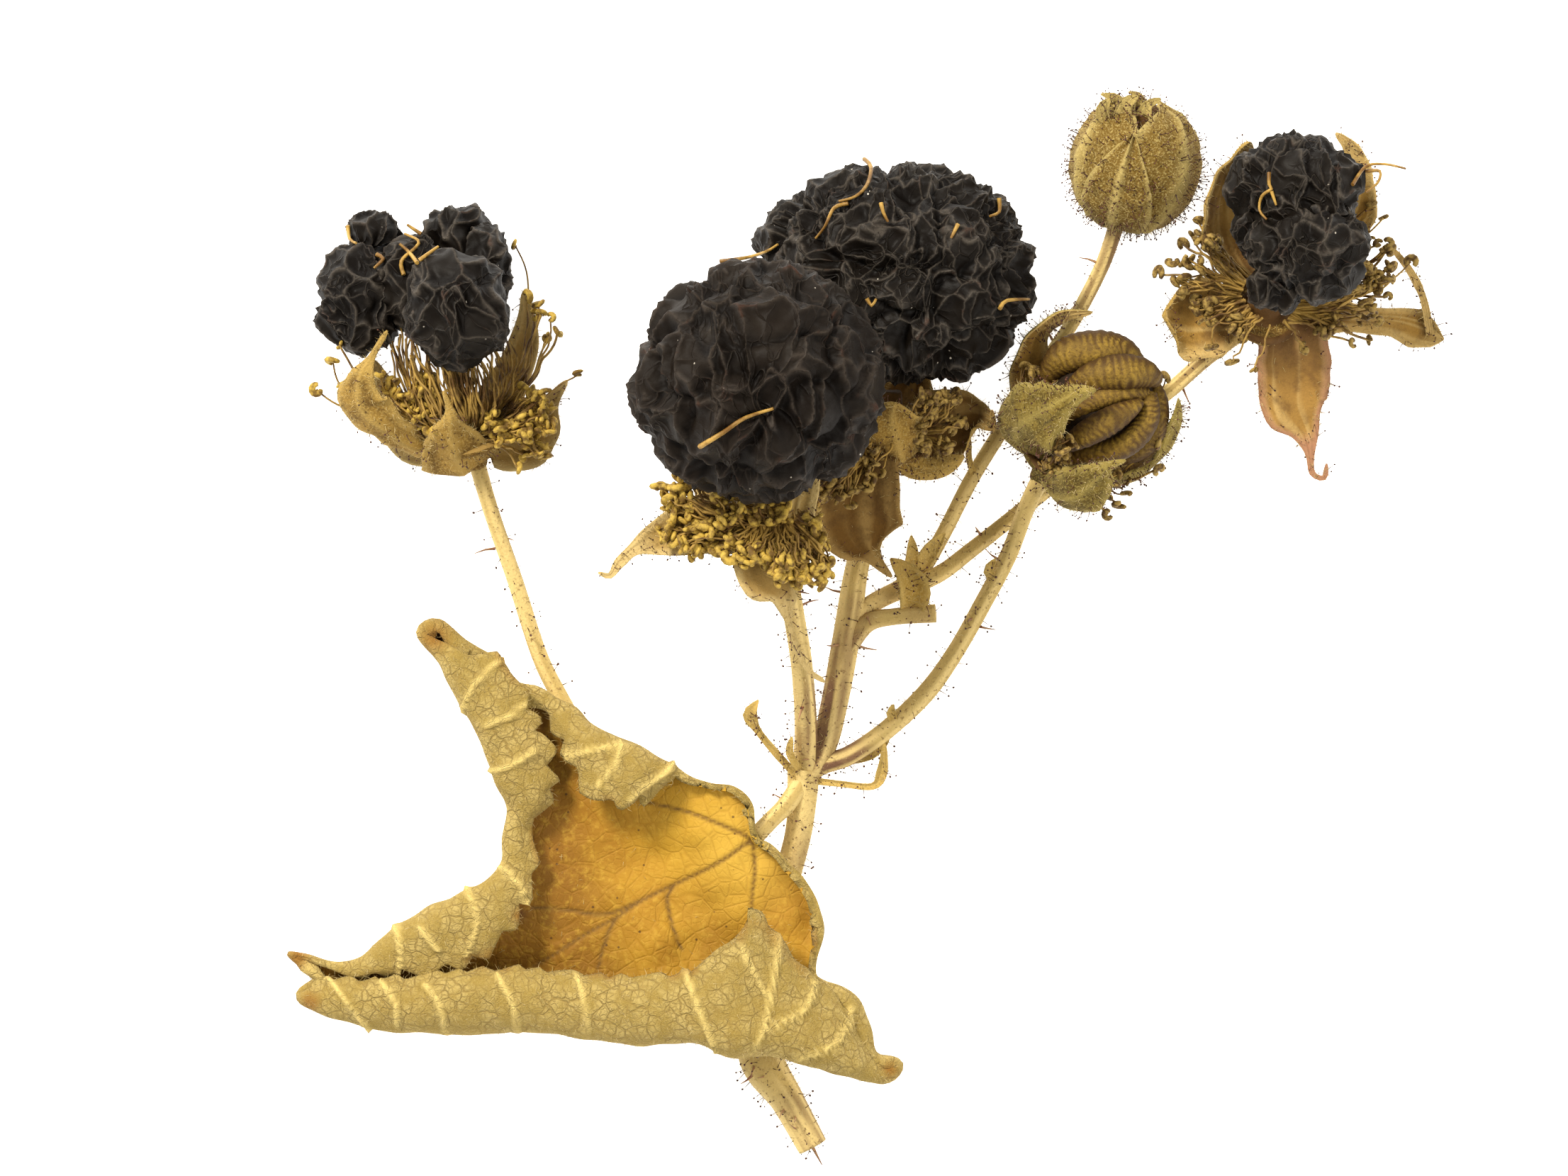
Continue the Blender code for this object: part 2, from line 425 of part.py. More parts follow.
def material(name, colour, roughness):
    """A plain material with that base colour."""
    made = bpy.data.materials.new(name)
    made.use_nodes = True
    shader = made.node_tree.nodes["Principled BSDF"]
    shader.inputs["Base Color"].default_value = (*colour, 1)
    shader.inputs["Roughness"].default_value = roughness
    return made


def add_object(name, mesh, finish=None):
    """Turns a mesh in millimetres into an object in metres."""
    bmesh.ops.recalc_face_normals(mesh, faces=mesh.faces)
    bmesh.ops.scale(mesh, vec=(MM, MM, MM), verts=mesh.verts)
    data = bpy.data.meshes.new(name)
    mesh.to_mesh(data)
    mesh.free()
    shade_round(data)
    made = bpy.data.objects.new(name, data)
    bpy.context.scene.collection.objects.link(made)
    if finish:
        data.materials.append(finish)
    return made


def shade_round(data):
    """Shades a mesh smooth, except over its sharp edges."""
    data.shade_smooth()
    data.set_sharp_from_angle(angle=SHARP_ANGLE)


def keep_largest(data):
    """Drops loose scraps and fills sealed hollows, so that one body is left."""
    mesh = bmesh.new()
    mesh.from_mesh(data)
    left = set(mesh.faces)
    shells = []
    while left:
        growing = [left.pop()]
        shell = set(growing)
        while growing:
            near = {face for edge in growing.pop().edges for face in edge.link_faces} & left
            left -= near
            shell |= near
            growing += near
        shells.append(shell)
    largest = max(shells, key=len)
    scraps = [face for face in mesh.faces if face not in largest]
    bmesh.ops.delete(mesh, geom=scraps, context="FACES")
    mesh.to_mesh(data)
    mesh.free()


def fuse(name, meshes, finish):
    """One object from overlapping closed meshes, by a Boolean union on a collection."""
    body = add_object(name, meshes[0], finish)
    if len(meshes) == 1:
        return body
    repeats = bpy.data.collections.new(name + "_repeats")
    bpy.context.scene.collection.children.link(repeats)
    for mesh in meshes[1:]:
        piece = add_object(name + "_repeat", mesh)
        bpy.context.scene.collection.objects.unlink(piece)
        repeats.objects.link(piece)
    union = body.modifiers.new("union", "BOOLEAN")
    union.operation = "UNION"
    union.solver = "MANIFOLD"
    union.operand_type = "COLLECTION"
    union.collection = repeats
    joined = bpy.data.meshes.new_from_object(body.evaluated_get(bpy.context.evaluated_depsgraph_get()))
    body.modifiers.clear()
    body.data = joined
    joined.name = name
    if not joined.materials:
        joined.materials.append(finish)
    keep_largest(joined)
    shade_round(joined)
    for piece in list(repeats.objects):
        bpy.data.objects.remove(piece)
    bpy.data.collections.remove(repeats)
    return body


def rest_on_surface(body):
    """Flattens what would reach below the surface, which leaves small flat spots to lie on."""
    for vert in body.data.vertices:
        vert.co.z = max(vert.co.z, 0.0)


def spread_directions(count, rng):
    """Directions spread evenly over a sphere along a spiral, each moved a little at random."""
    golden_angle = math.pi * (3 - math.sqrt(5))
    uneven = 0.35 / math.sqrt(count)
    found = []
    for k in range(count):
        height = 1 - (2 * k + 1) / count
        ring = math.sqrt(1 - height * height)
        direction = Vector((ring * math.cos(k * golden_angle), ring * math.sin(k * golden_angle), height))
        jitter = Vector((rng.uniform(-1, 1), rng.uniform(-1, 1), rng.uniform(-1, 1)))
        found.append((direction + uneven * jitter).normalized())
    return found


def lobe_relief(lobe, direction, tips, offset):
    """How far out the lobe's skin stands in a direction, as a share of its semi-axes."""
    relief = 1.0
    bumpy = int(len(tips) > 1)
    if bumpy:
        half_angle = 2.05 / math.sqrt(len(tips))
        nearest = min(direction.angle(tip) for tip in tips)
        inside = min(nearest / half_angle, 1.0)
        relief -= DRUPELET_DEPTH * (1 - math.sqrt(1 - inside * inside))
    fold = abs(noise.noise(direction * FOLD_SIZES[bumpy] + offset))
    return relief - FOLD_DEPTHS[bumpy] * (1 - min(fold * 2.5, 1.0))


def lobe_mesh(lobe):
    """A mesh for one shrivelled body of a berry, with a bump for each drupelet and folds between."""
    rng = random.Random(lobe.seed)
    tips = spread_directions(lobe.drupelets, rng) if lobe.drupelets > 1 else [Vector((0, 0, 1))]
    offset = Vector((lobe.seed * 1.7, 0, 0))
    turned = Matrix.Rotation(math.radians(lobe.turn), 3, "Z")
    mesh = bmesh.new()
    bmesh.ops.create_icosphere(mesh, subdivisions=lobe.detail, radius=1)
    for vert in mesh.verts:
        direction = vert.co.normalized()
        share = lobe_relief(lobe, direction, tips, offset)
        wider = 1 + lobe.taper * direction.x
        across, along, up = lobe.semi_axes
        local = Vector((across * direction.x, along * wider * direction.y, up * direction.z)) * share
        vert.co = turned @ local + mm_vector(lobe.centre)
    return mesh


def clear_of_berry(point, lobes, margin):
    """The point, moved straight out of any lobe of the berry that it is nearer to than margin."""
    for lobe in lobes:
        turned = Matrix.Rotation(math.radians(lobe.turn), 3, "Z")
        local = turned.transposed() @ (point - mm_vector(lobe.centre))
        axes = [a + margin for a in lobe.semi_axes]
        axes[1] *= 1 + lobe.taper
        scaled = Vector(v / a for v, a in zip(local, axes))
        if scaled.length < 1:
            scaled.normalize()
            point = turned @ Vector(v * a for v, a in zip(scaled, axes)) + mm_vector(lobe.centre)
    return point


def head_frame(head):
    """The head's own frame: origin at the end of its stalk, z along its axis, x towards the sprig's x."""
    base = mm_vector(head.base)
    axis = (mm_vector(head.towards) - base).normalized()
    side = (Vector((1, 0, 0)) - axis * axis.x).normalized()
    turned = Matrix((side, axis.cross(side), axis)).transposed()
    return Matrix.Translation(base) @ turned.to_4x4()


def turned_mesh(frame, profile, sides):
    """A mesh turned about the head's axis from (height, radius) pairs."""
    mesh = bmesh.new()
    rings = []
    for height, radius in profile:
        angles = [2 * math.pi * k / sides for k in range(sides)]
        rings.append([frame @ Vector((radius * math.cos(a), radius * math.sin(a), height)) for a in angles])
    loft(mesh, rings)
    return mesh


def calyx_meshes(head):
    """Meshes for a calyx: the cup at the stalk's end, the core that the berry sits on, and the sepals."""
    frame = head_frame(head)
    profile = [
        (GAP, 0.42), (0.45 * head.disc_at, 0.62), (head.disc_at - 0.4, head.disc_radius),
        (head.disc_at, head.disc_radius), (head.disc_at + 0.05, CORE_RADIUS),
        (head.core_end, 0.8 * CORE_RADIUS),
    ]
    return [turned_mesh(frame, profile, 10)] + [blade_mesh(sepal) for sepal in head.sepals]


def stamen_mesh(root, end, lobes):
    """A mesh for a stamen or a bunch of them: a bowed strip that widens into its anthers."""
    tip = mm_vector(end)
    middle = root.lerp(tip, 0.55) + Vector((0, 0, 0.25))
    ahead = (tip - middle).normalized()
    side = ahead.cross(Vector((0, 0, 1))).normalized()
    up = side.cross(ahead)
    width = end[3]
    thin = 0.3 if width < 0.7 else 0.45 * width
    stations = [
        (root, thin, 0.3), (middle, thin, 0.26), (tip - ahead * 0.25, width, 0.5),
        (tip + ahead * 0.2, 0.7 * width, 0.36),
    ]
    rings = []
    for point, across, deep in stations:
        placed = clear_of_berry(point, lobes, deep / 2 + GAP)
        low = placed - up * deep / 2
        rings.append([low + side * across / 2, placed + up * deep / 2, low - side * across / 2])
    mesh = bmesh.new()
    loft(mesh, rings)
    return mesh


def stamen_meshes(head, lobes):
    """Meshes for the collar round the core and the stamens that stand out of it, under the berry."""
    frame = head_frame(head)
    outer = CORE_RADIUS + 0.7
    collar = [
        (head.collar_at - 0.1, 0.6 * outer), (head.collar_at + 0.05, outer),
        (head.collar_at + 0.35, outer), (head.collar_at + 0.5, 0.6 * outer),
    ]
    meshes = [turned_mesh(frame, collar, 9)]
    to_head = frame.inverted()
    for end in head.anthers:
        local = to_head @ mm_vector(end)
        out = Vector((local.x, local.y, 0)).normalized()
        root = frame @ (out * (outer - 0.4) + Vector((0, 0, head.collar_at + 0.2)))
        meshes.append(stamen_mesh(root, end, lobes))
    return meshes


def cane_meshes():
    """Meshes for the cane with its stalks, stipules and prickles."""
    rng = random.Random(PRICKLE_SEED)
    meshes = []
    prickles = []
    for stem in STEMS:
        path = smooth_path(stem, STEM_STEP)
        meshes.append(tube(path, STEM_SIDES))
        points = [mm_vector(p) for p in path]
        frames = section_frames(points)
        run = sum((b - a).length for a, b in zip(points, points[1:]))
        for _ in range(round(run * PRICKLES_PER_MM)):
            k = rng.randrange(1, len(points) - 1)
            angle = rng.uniform(0, 2 * math.pi)
            out = frames[k][0] * math.cos(angle) + frames[k][1] * math.sin(angle)
            if out.z < -0.3:
                continue
            radius = path[k][3]
            length = rng.uniform(*PRICKLE_LENGTH)
            back = (points[k - 1] - points[k]).normalized()
            tip = points[k] + out * (radius + length) + back * 0.25 * length
            root = points[k] + out * 0.3 * radius
            prickles.append(tube([(*root, PRICKLE_ROOT), (*tip, 0.04)], 3))
    return meshes + [blade_mesh(stipule) for stipule in STIPULES] + prickles


def bud_mesh():
    """A mesh for the closed bud: five sepals folded over each other, with a raised edge on each."""
    base, centre = Vector(BUD_BASE), Vector(BUD_CENTRE)
    axis = (centre - base).normalized()
    side = Vector((1, 0, 0)) - axis * axis.x
    side.normalize()
    turned = Matrix((side, axis.cross(side), axis)).transposed()
    mesh = bmesh.new()
    rows, columns, sepals = 9, 25, 5
    rings = []
    for j in range(rows + 1):
        polar = math.pi * (0.02 + 0.96 * j / rows)
        ring = []
        for k in range(columns):
            angle = 2 * math.pi * k / columns
            share = (angle * sepals / (2 * math.pi) + 0.35 * math.cos(polar)) % 1.0
            overlap = 0.10 * (share ** 2) * math.sin(polar)
            shoulder = 1 - 0.10 * max(0.0, -math.cos(polar)) ** 3
            across = BUD_RADIUS * (0.94 + overlap) * math.sin(polar) ** 0.85
            ring.append(centre + turned @ Vector((
                across * math.cos(angle), across * math.sin(angle),
                -BUD_LENGTH * math.cos(polar) * shoulder,
            )))
        rings.append(ring)
    loft(mesh, rings)
    return mesh


def roll_points(station):
    """The blade's middle surface at one station: its foot, round the roll and out to the flap's end."""
    edge, end = Vector(station[:2]), Vector(station[2:4])
    height, radius = station[4:]
    reach = (end - edge).length
    inwards = (end - edge) / reach
    steps = [(radius, 0.0)]
    for degrees in (60, 120, 180):
        angle = math.radians(degrees)
        steps.append((radius * (1 - math.sin(angle)), radius * (1 - math.cos(angle))))
    past_top = max(reach - radius, 0.2)
    steps.append((radius + 0.55 * past_top, radius * 1.93))
    steps.append((radius + past_top, radius * 1.55))
    return [Vector((*(edge + inwards * out), height + up)) for out, up in steps]


def floor_height(place, feet):
    """The height of the blade's middle at a place, from its hollow and the feet of the rolled edge."""
    hollow_weight = 1.5 / ((place - Vector(LEAF_HOLLOW[:2])).length_squared + 0.5)
    weights = [1 / ((place - foot.xy).length_squared + 0.01) ** 1.5 for foot in feet]
    total = sum(w * foot.z for w, foot in zip(weights, feet)) + hollow_weight * LEAF_HOLLOW[2]
    return total / (sum(weights) + hollow_weight)


def floor_places(feet):
    """Places on a grid over the blade's middle that lie inside the feet of the rolled edge."""
    low = [min(foot[axis] for foot in feet) for axis in (0, 1)]
    high = [max(foot[axis] for foot in feet) for axis in (0, 1)]
    places = []
    for row in range(int((high[1] - low[1]) / FLOOR_STEP) + 1):
        for column in range(int((high[0] - low[0]) / FLOOR_STEP) + 1):
            shift = 0.5 * FLOOR_STEP * (row % 2)
            place = Vector((low[0] + column * FLOOR_STEP + shift, low[1] + row * FLOOR_STEP))
            nearest = min((place - foot.xy).length for foot in feet)
            if nearest > 0.7 * FLOOR_STEP and inside_loop(place, feet):
                places.append(place)
    return places


def inside_loop(place, loop):
    """Whether a place lies inside a closed loop of points seen from above."""
    inside = False
    for k, point in enumerate(loop):
        other = loop[k - 1]
        if (point.y > place.y) != (other.y > place.y):
            crossing = point.x + (place.y - point.y) * (other.x - point.x) / (other.y - point.y)
            inside = inside != (place.x < crossing)
    return inside


def leaf_mesh():
    """A mesh for the leaf: a hollow blade whose edge is rolled up and over all the way round."""
    sections = [roll_points(station) for station in smooth_closed(LEAF_STATIONS, LEAF_STEP)]
    feet = [section[0] for section in sections]
    count = len(feet)
    flat = [foot.xy for foot in feet] + floor_places(feet)
    cut = delaunay_2d_cdt(flat, [], [list(range(count))], 1, 1e-5)
    places, triangles, origins = cut[0], cut[2], cut[3]
    points = [
        feet[origin[0]] if origin and origin[0] < count
        else Vector((*place, floor_height(place, feet)))
        for place, origin in zip(places, origins)
    ]
    row = [next(i for i, origin in enumerate(origins) if k in origin) for k in range(count)]
    faces = [tuple(triangle) for triangle in triangles]
    for j in range(1, len(sections[0])):
        following = list(range(len(points), len(points) + count))
        points += [section[j] for section in sections]
        for k in range(count):
            after = (k + 1) % count
            faces.append((row[k], following[k], following[after]))
            faces.append((row[k], following[after], row[after]))
        row = following
    return thickened(points, faces, row, BLADE)


def point_normals(points, faces):
    """The normal at each point, from the faces round it."""
    normals = [Vector() for _ in points]
    for face in faces:
        a, b, c = (points[i] for i in face)
        across = (b - a).cross(c - a)
        for i in face:
            normals[i] += across
    return [normal.normalized() for normal in normals]


def thickened(points, faces, rim, thickness):
    """A closed mesh of even thickness about a sheet of triangles whose open edge is the loop rim."""
    normals = point_normals(points, faces)
    mesh = bmesh.new()
    upper = [mesh.verts.new(p + n * thickness / 2) for p, n in zip(points, normals)]
    lower = [mesh.verts.new(p - n * thickness / 2) for p, n in zip(points, normals)]
    for face in faces:
        mesh.faces.new([upper[i] for i in face])
        mesh.faces.new([lower[i] for i in reversed(face)])
    for k, i in enumerate(rim):
        j = rim[(k + 1) % len(rim)]
        mesh.faces.new((upper[j], upper[i], lower[i], lower[j]))
    return mesh


def smooth_closed(points, step):
    """Points about step apart along a smooth closed curve through points."""
    total = len(points)
    found = []
    for i in range(total):
        four = [points[(i + k) % total] for k in (-1, 0, 1, 2)]
        pieces = max(1, round((Vector(four[2][:2]) - Vector(four[1][:2])).length / step))
        found += [catmull_rom(*four, k / pieces) for k in range(pieces)]
    return found


def main():
    """Builds every node and moves the sprig so that its box stands centred on the origin."""
    for old in list(bpy.data.objects):
        bpy.data.objects.remove(old)
    straw = material("straw_stem", (0.62, 0.50, 0.26), 0.8)
    ochre = material("ochre_leaf", (0.60, 0.47, 0.20), 0.85)
    felt = material("felted_sepal", (0.50, 0.42, 0.22), 0.9)
    golden = material("browned_petal", (0.30, 0.20, 0.05), 0.7)
    black = material("dried_berry", (0.035, 0.032, 0.034), 0.65)
    nodes = [
        fuse("cane", cane_meshes(), straw),
        add_object("leaf", leaf_mesh(), ochre),
        add_object("closed_bud", bud_mesh(), felt),
    ]
    heads = [
        ("front", FRONT_HEAD, FRONT_BERRY), ("back", BACK_HEAD, BACK_BERRY),
        ("left", LEFT_HEAD, LEFT_BERRY), ("right", RIGHT_HEAD, RIGHT_BERRY),
    ]
    for name, head, lobes in heads:
        nodes.append(fuse(name + "_calyx", calyx_meshes(head) + stamen_meshes(head, lobes), felt))
        nodes.append(fuse(name + "_berry", [lobe_mesh(lobe) for lobe in lobes], black))
    nodes.append(fuse("petal_bud_calyx", calyx_meshes(PETAL_HEAD), felt))
    nodes.append(fuse("petal_bud_petals", [lobe_mesh(lobe) for lobe in PETALS], golden))
    for body in nodes:
        rest_on_surface(body)
    centre_on_origin(nodes)


def centre_on_origin(nodes):
    """Parents the nodes to an empty that brings the middle of the sprig's box over the origin."""
    corners = [vert.co for body in nodes for vert in body.data.vertices]
    low = [min(c[axis] for c in corners) for axis in (0, 1)]
    high = [max(c[axis] for c in corners) for axis in (0, 1)]
    place = bpy.data.objects.new("sprig", None)
    place.location = (-(low[0] + high[0]) / 2, -(low[1] + high[1]) / 2, 0)
    bpy.context.scene.collection.objects.link(place)
    for body in nodes:
        body.parent = place


main()
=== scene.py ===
"""Looks of a dried dewberry sprig that lies on a pale floor.

Points and sizes are in millimetres from the main node of the cane, where the leaf stalk, the fruit
stalks and the stipules meet: x to the right and y towards the top of the sprig seen from above, z up
from the floor. They become metres in the frame where a piece is made.
"""

import logging
import math
from collections.abc import Iterable, Sequence
from dataclasses import dataclass, field, replace
from enum import Enum
from functools import cache

import bmesh
import bpy
import numpy as np
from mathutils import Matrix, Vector
from mathutils.geometry import delaunay_2d_cdt


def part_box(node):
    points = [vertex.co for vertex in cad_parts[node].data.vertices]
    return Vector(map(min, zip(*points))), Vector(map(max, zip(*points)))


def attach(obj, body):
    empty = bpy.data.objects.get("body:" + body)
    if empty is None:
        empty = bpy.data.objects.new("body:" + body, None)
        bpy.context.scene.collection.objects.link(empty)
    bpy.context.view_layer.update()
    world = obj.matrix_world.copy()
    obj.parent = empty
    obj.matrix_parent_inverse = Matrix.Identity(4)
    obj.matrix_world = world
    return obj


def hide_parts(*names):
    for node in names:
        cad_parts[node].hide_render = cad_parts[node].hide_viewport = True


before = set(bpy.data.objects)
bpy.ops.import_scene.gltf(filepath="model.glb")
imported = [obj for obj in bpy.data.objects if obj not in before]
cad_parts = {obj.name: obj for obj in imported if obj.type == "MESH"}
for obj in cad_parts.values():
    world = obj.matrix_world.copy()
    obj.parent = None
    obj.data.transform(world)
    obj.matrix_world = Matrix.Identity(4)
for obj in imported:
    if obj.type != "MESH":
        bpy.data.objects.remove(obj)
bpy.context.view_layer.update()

LOG = logging.getLogger("sprig")

MM = 0.001
BODY = "root"
CANE_CORNER = (14.392, 16.41)  # how far the main node lies from the low corner of the cane's box
PHOTO_WIDTH = 2212
PHOTO_HEIGHT = 1659
PIXELS_PER_MM = 32.65
NODE_PIXEL = (1133.65, 1094.94)  # where the photograph shows the main node
CAMERA_HEIGHT = 603.0
SENSOR_WIDTH = 36.0

MAIN_NODE = np.array([
    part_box("cane")[0].x + CANE_CORNER[0] * MM,
    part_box("cane")[0].y + CANE_CORNER[1] * MM,
    0.0,
])

SKIN_PLACE = ("fold_x", "fold_y", "fold_z")  # the names of the place on a berry's skin, in cells

Colour = tuple[float, float, float]
Place = tuple[float, float, float]
Knot = tuple[float, float, float, float]  # a place with a width, a radius or the reach of a bunch
Point = Sequence[float]
Faces = list[tuple[int, ...]]
Array = np.ndarray
Socket = bpy.types.NodeSocket
Painted = tuple[object, object]  # a finish's colour, and the height of its relief or nothing


class Side(Enum):
    """The two faces of a leaf or sepal, by the number of their material."""

    OUTER = 0
    INNER = 1


class Bristle(Enum):
    """What grows out of a skin: a plain tapering hair, or one that carries a round gland."""

    HAIR = "hair"
    GLAND = "gland"


# Node trees


class Graph:
    """A node tree whose nodes are added and linked in one call each."""

    def __init__(self, tree: bpy.types.NodeTree) -> None:
        """Takes the tree that the nodes go into."""
        self.tree = tree

    def add(self, kind: str, inputs: dict | None = None, **settings: object) -> bpy.types.Node:
        """Adds a node.

        Args:
            kind: The node's type.
            inputs: A value or another node's output for each input, by its name or number.
            settings: The node's own options.

        Returns:
            The node.
        """
        made = self.tree.nodes.new(kind)
        for name, value in settings.items():
            setattr(made, name, value)
        for key, value in (inputs or {}).items():
            if isinstance(value, Socket):
                self.tree.links.new(value, made.inputs[key])
            else:
                made.inputs[key].default_value = value
        return made

    def math(self, operation: str, *terms: object) -> Socket:
        """The result of a Math node on one to three terms."""
        return self.add("ShaderNodeMath", dict(enumerate(terms)), operation=operation).outputs[0]

    def times(self, first: object, second: object) -> Socket:
        """One number times another."""
        return self.math("MULTIPLY", first, second)

    def times_plus(self, first: object, second: object, added: object) -> Socket:
        """One number times another, plus a third."""
        return self.math("MULTIPLY_ADD", first, second, added)

    def vector(self, operation: str, *terms: object) -> Socket:
        """The result of a Vector Math node on one or two vectors."""
        return self.add("ShaderNodeVectorMath", dict(enumerate(terms)), operation=operation).outputs[0]

    def scaled(self, vector: object, factor: object) -> Socket:
        """A vector times a number."""
        return self.add("ShaderNodeVectorMath", {0: vector, 3: factor}, operation="SCALE").outputs[0]

    def ramp(self, value: object, low: float, high: float) -> Socket:
        """A value eased from 0 at low to 1 at high."""
        inputs = {"Value": value, "From Min": low, "From Max": high}
        return self.add("ShaderNodeMapRange", inputs, interpolation_type="SMOOTHSTEP").outputs[0]

    def blend(self, share: object, first: object, second: object) -> Socket:
        """A colour that goes from first to second with share."""
        ends = {key: (*c, 1.0) if isinstance(c, tuple) else c for key, c in ((6, first), (7, second))}
        return self.add("ShaderNodeMix", {0: share, **ends}, data_type="RGBA").outputs[2]

    def noise(self, place: object, size: float, detail: float = 3.0) -> Socket:
        """Noise from 0 to 1 whose blotches are about size across."""
        inputs = {"Vector": place, "Scale": 1.0 / size, "Detail": detail, "Roughness": 0.6}
        return self.add("ShaderNodeTexNoise", inputs, noise_dimensions="3D").outputs[0]

    def cells(self, place: object, size: object, feature: str = "F1") -> Socket:
        """The distance, in cells, to the nearest cell's middle, or to the edge between cells."""
        scale = 1.0 / size if isinstance(size, float) else self.math("DIVIDE", 1.0, size)
        inputs = {"Vector": place, "Scale": scale}
        return self.add("ShaderNodeTexVoronoi", inputs, feature=feature).outputs["Distance"]

    def cusp(self, value: object, width: float) -> Socket:
        """A sharp edge: 1 where the value is 0, and falling away at once on both sides."""
        return self.math("EXPONENT", self.math("DIVIDE", value, -width))

    def level(self, place: object, size: float, width: float) -> Socket:
        """Long sharp edges that flow and never cross, along a level line of soft noise."""
        above = self.math("SUBTRACT", self.noise(place, size, 1.0), 0.5)
        return self.cusp(self.math("ABSOLUTE", above), width)

    def crumple(self, place: object, thin: float) -> tuple[Socket, Socket]:
        """The folds of a crumpled skin.

        Args:
            place: The place on the skin, in cells of the folds.
            thin: How thin the folds are, where 1 is as the skin's shape has them.

        Returns:
            The main folds and the fine creases, both 1 along their edge.
        """
        fold = self.cusp(self.cells(place, 1.0, "DISTANCE_TO_EDGE"), 0.15 * thin)
        main = self.math("MAXIMUM", self.times(fold, 0.8), self.level(place, 1.7, 0.035 * thin))
        crease = self.cusp(self.cells(place, 0.52, "DISTANCE_TO_EDGE"), 0.14 * thin)
        patchy = self.ramp(self.noise(place, 1.6, 1.0), 0.36, 0.56)
        fine = self.math("MAXIMUM", self.times(crease, 0.8), self.level(place, 0.8, 0.04 * thin))
        return main, self.times(fine, patchy)

    def dots(self, place: object, size: float, full: float, gone: float) -> Socket:
        """A round dot in each cell: 1 within full of the cell's middle and 0 past gone."""
        return self.math("SUBTRACT", 1.0, self.ramp(self.cells(place, size), full, gone))

    def net(self, place: object, size: object, width: float) -> Socket:
        """Lines between cells: 1 along their middle."""
        return self.crest(self.cells(place, size, "DISTANCE_TO_EDGE"), width)

    def layered(self, colour: object, layers: Sequence[tuple[object, object]]) -> Socket:
        """A colour under layers of others, each with its share and its colour."""
        for share, other in layers:
            colour = self.blend(share, colour, other)
        return colour

    def crest(self, value: object, width: float) -> Socket:
        """A rounded crest: 1 where the value is 0, and next to 0 a width or two away."""
        ratio = self.math("DIVIDE", value, width)
        return self.math("EXPONENT", self.times(self.times(ratio, ratio), -1.0))


class GrowthTree:
    """Geometry Nodes with named inputs, which turn a carrier mesh into finished mesh."""

    SOCKETS = {float: "NodeSocketFloat", int: "NodeSocketInt", "material": "NodeSocketMaterial",
               "object": "NodeSocketObject"}

    def __init__(self, name: str, inputs: dict[str, object]) -> None:
        """Makes the tree's inputs.

        Args:
            name: The tree's name.
            inputs: The kind of each named input.
        """
        self.group = bpy.data.node_groups.new(name, "GeometryNodeTree")
        face = self.group.interface
        face.new_socket("Geometry", in_out="INPUT", socket_type="NodeSocketGeometry")
        self.sockets = {
            label: face.new_socket(label, in_out="INPUT", socket_type=self.SOCKETS[kind]).identifier
            for label, kind in inputs.items()
        }
        face.new_socket("Geometry", in_out="OUTPUT", socket_type="NodeSocketGeometry")
        self.graph = Graph(self.group)
        self.given = self.graph.add("NodeGroupInput").outputs

    def named(self, label: str) -> Socket:
        """A value that the carrier's points hold under that name."""
        return self.graph.add("GeometryNodeInputNamedAttribute", {"Name": label}).outputs[0]

    def chance(self, low: object, high: object, salt: int) -> Socket:
        """A random number between two values for each point, with the tree's seed and its own salt."""
        seed = self.graph.math("ADD", self.given["Seed"], float(salt))
        inputs = {2: low, 3: high, "Seed": seed}
        return self.graph.add("FunctionNodeRandomValue", inputs, data_type="FLOAT").outputs[1]

    def end(self, geometry: Socket) -> None:
        """Ends the tree: real mesh, shaded smooth, in the given material."""
        real = self.graph.add("GeometryNodeRealizeInstances", {0: geometry}).outputs[0]
        smooth = self.graph.add("GeometryNodeSetShadeSmooth", {0: real}).outputs[0]
        painted = self.graph.add("GeometryNodeSetMaterial", {0: smooth, "Material": self.given["Material"]})
        self.graph.add("NodeGroupOutput", {0: painted.outputs[0]})


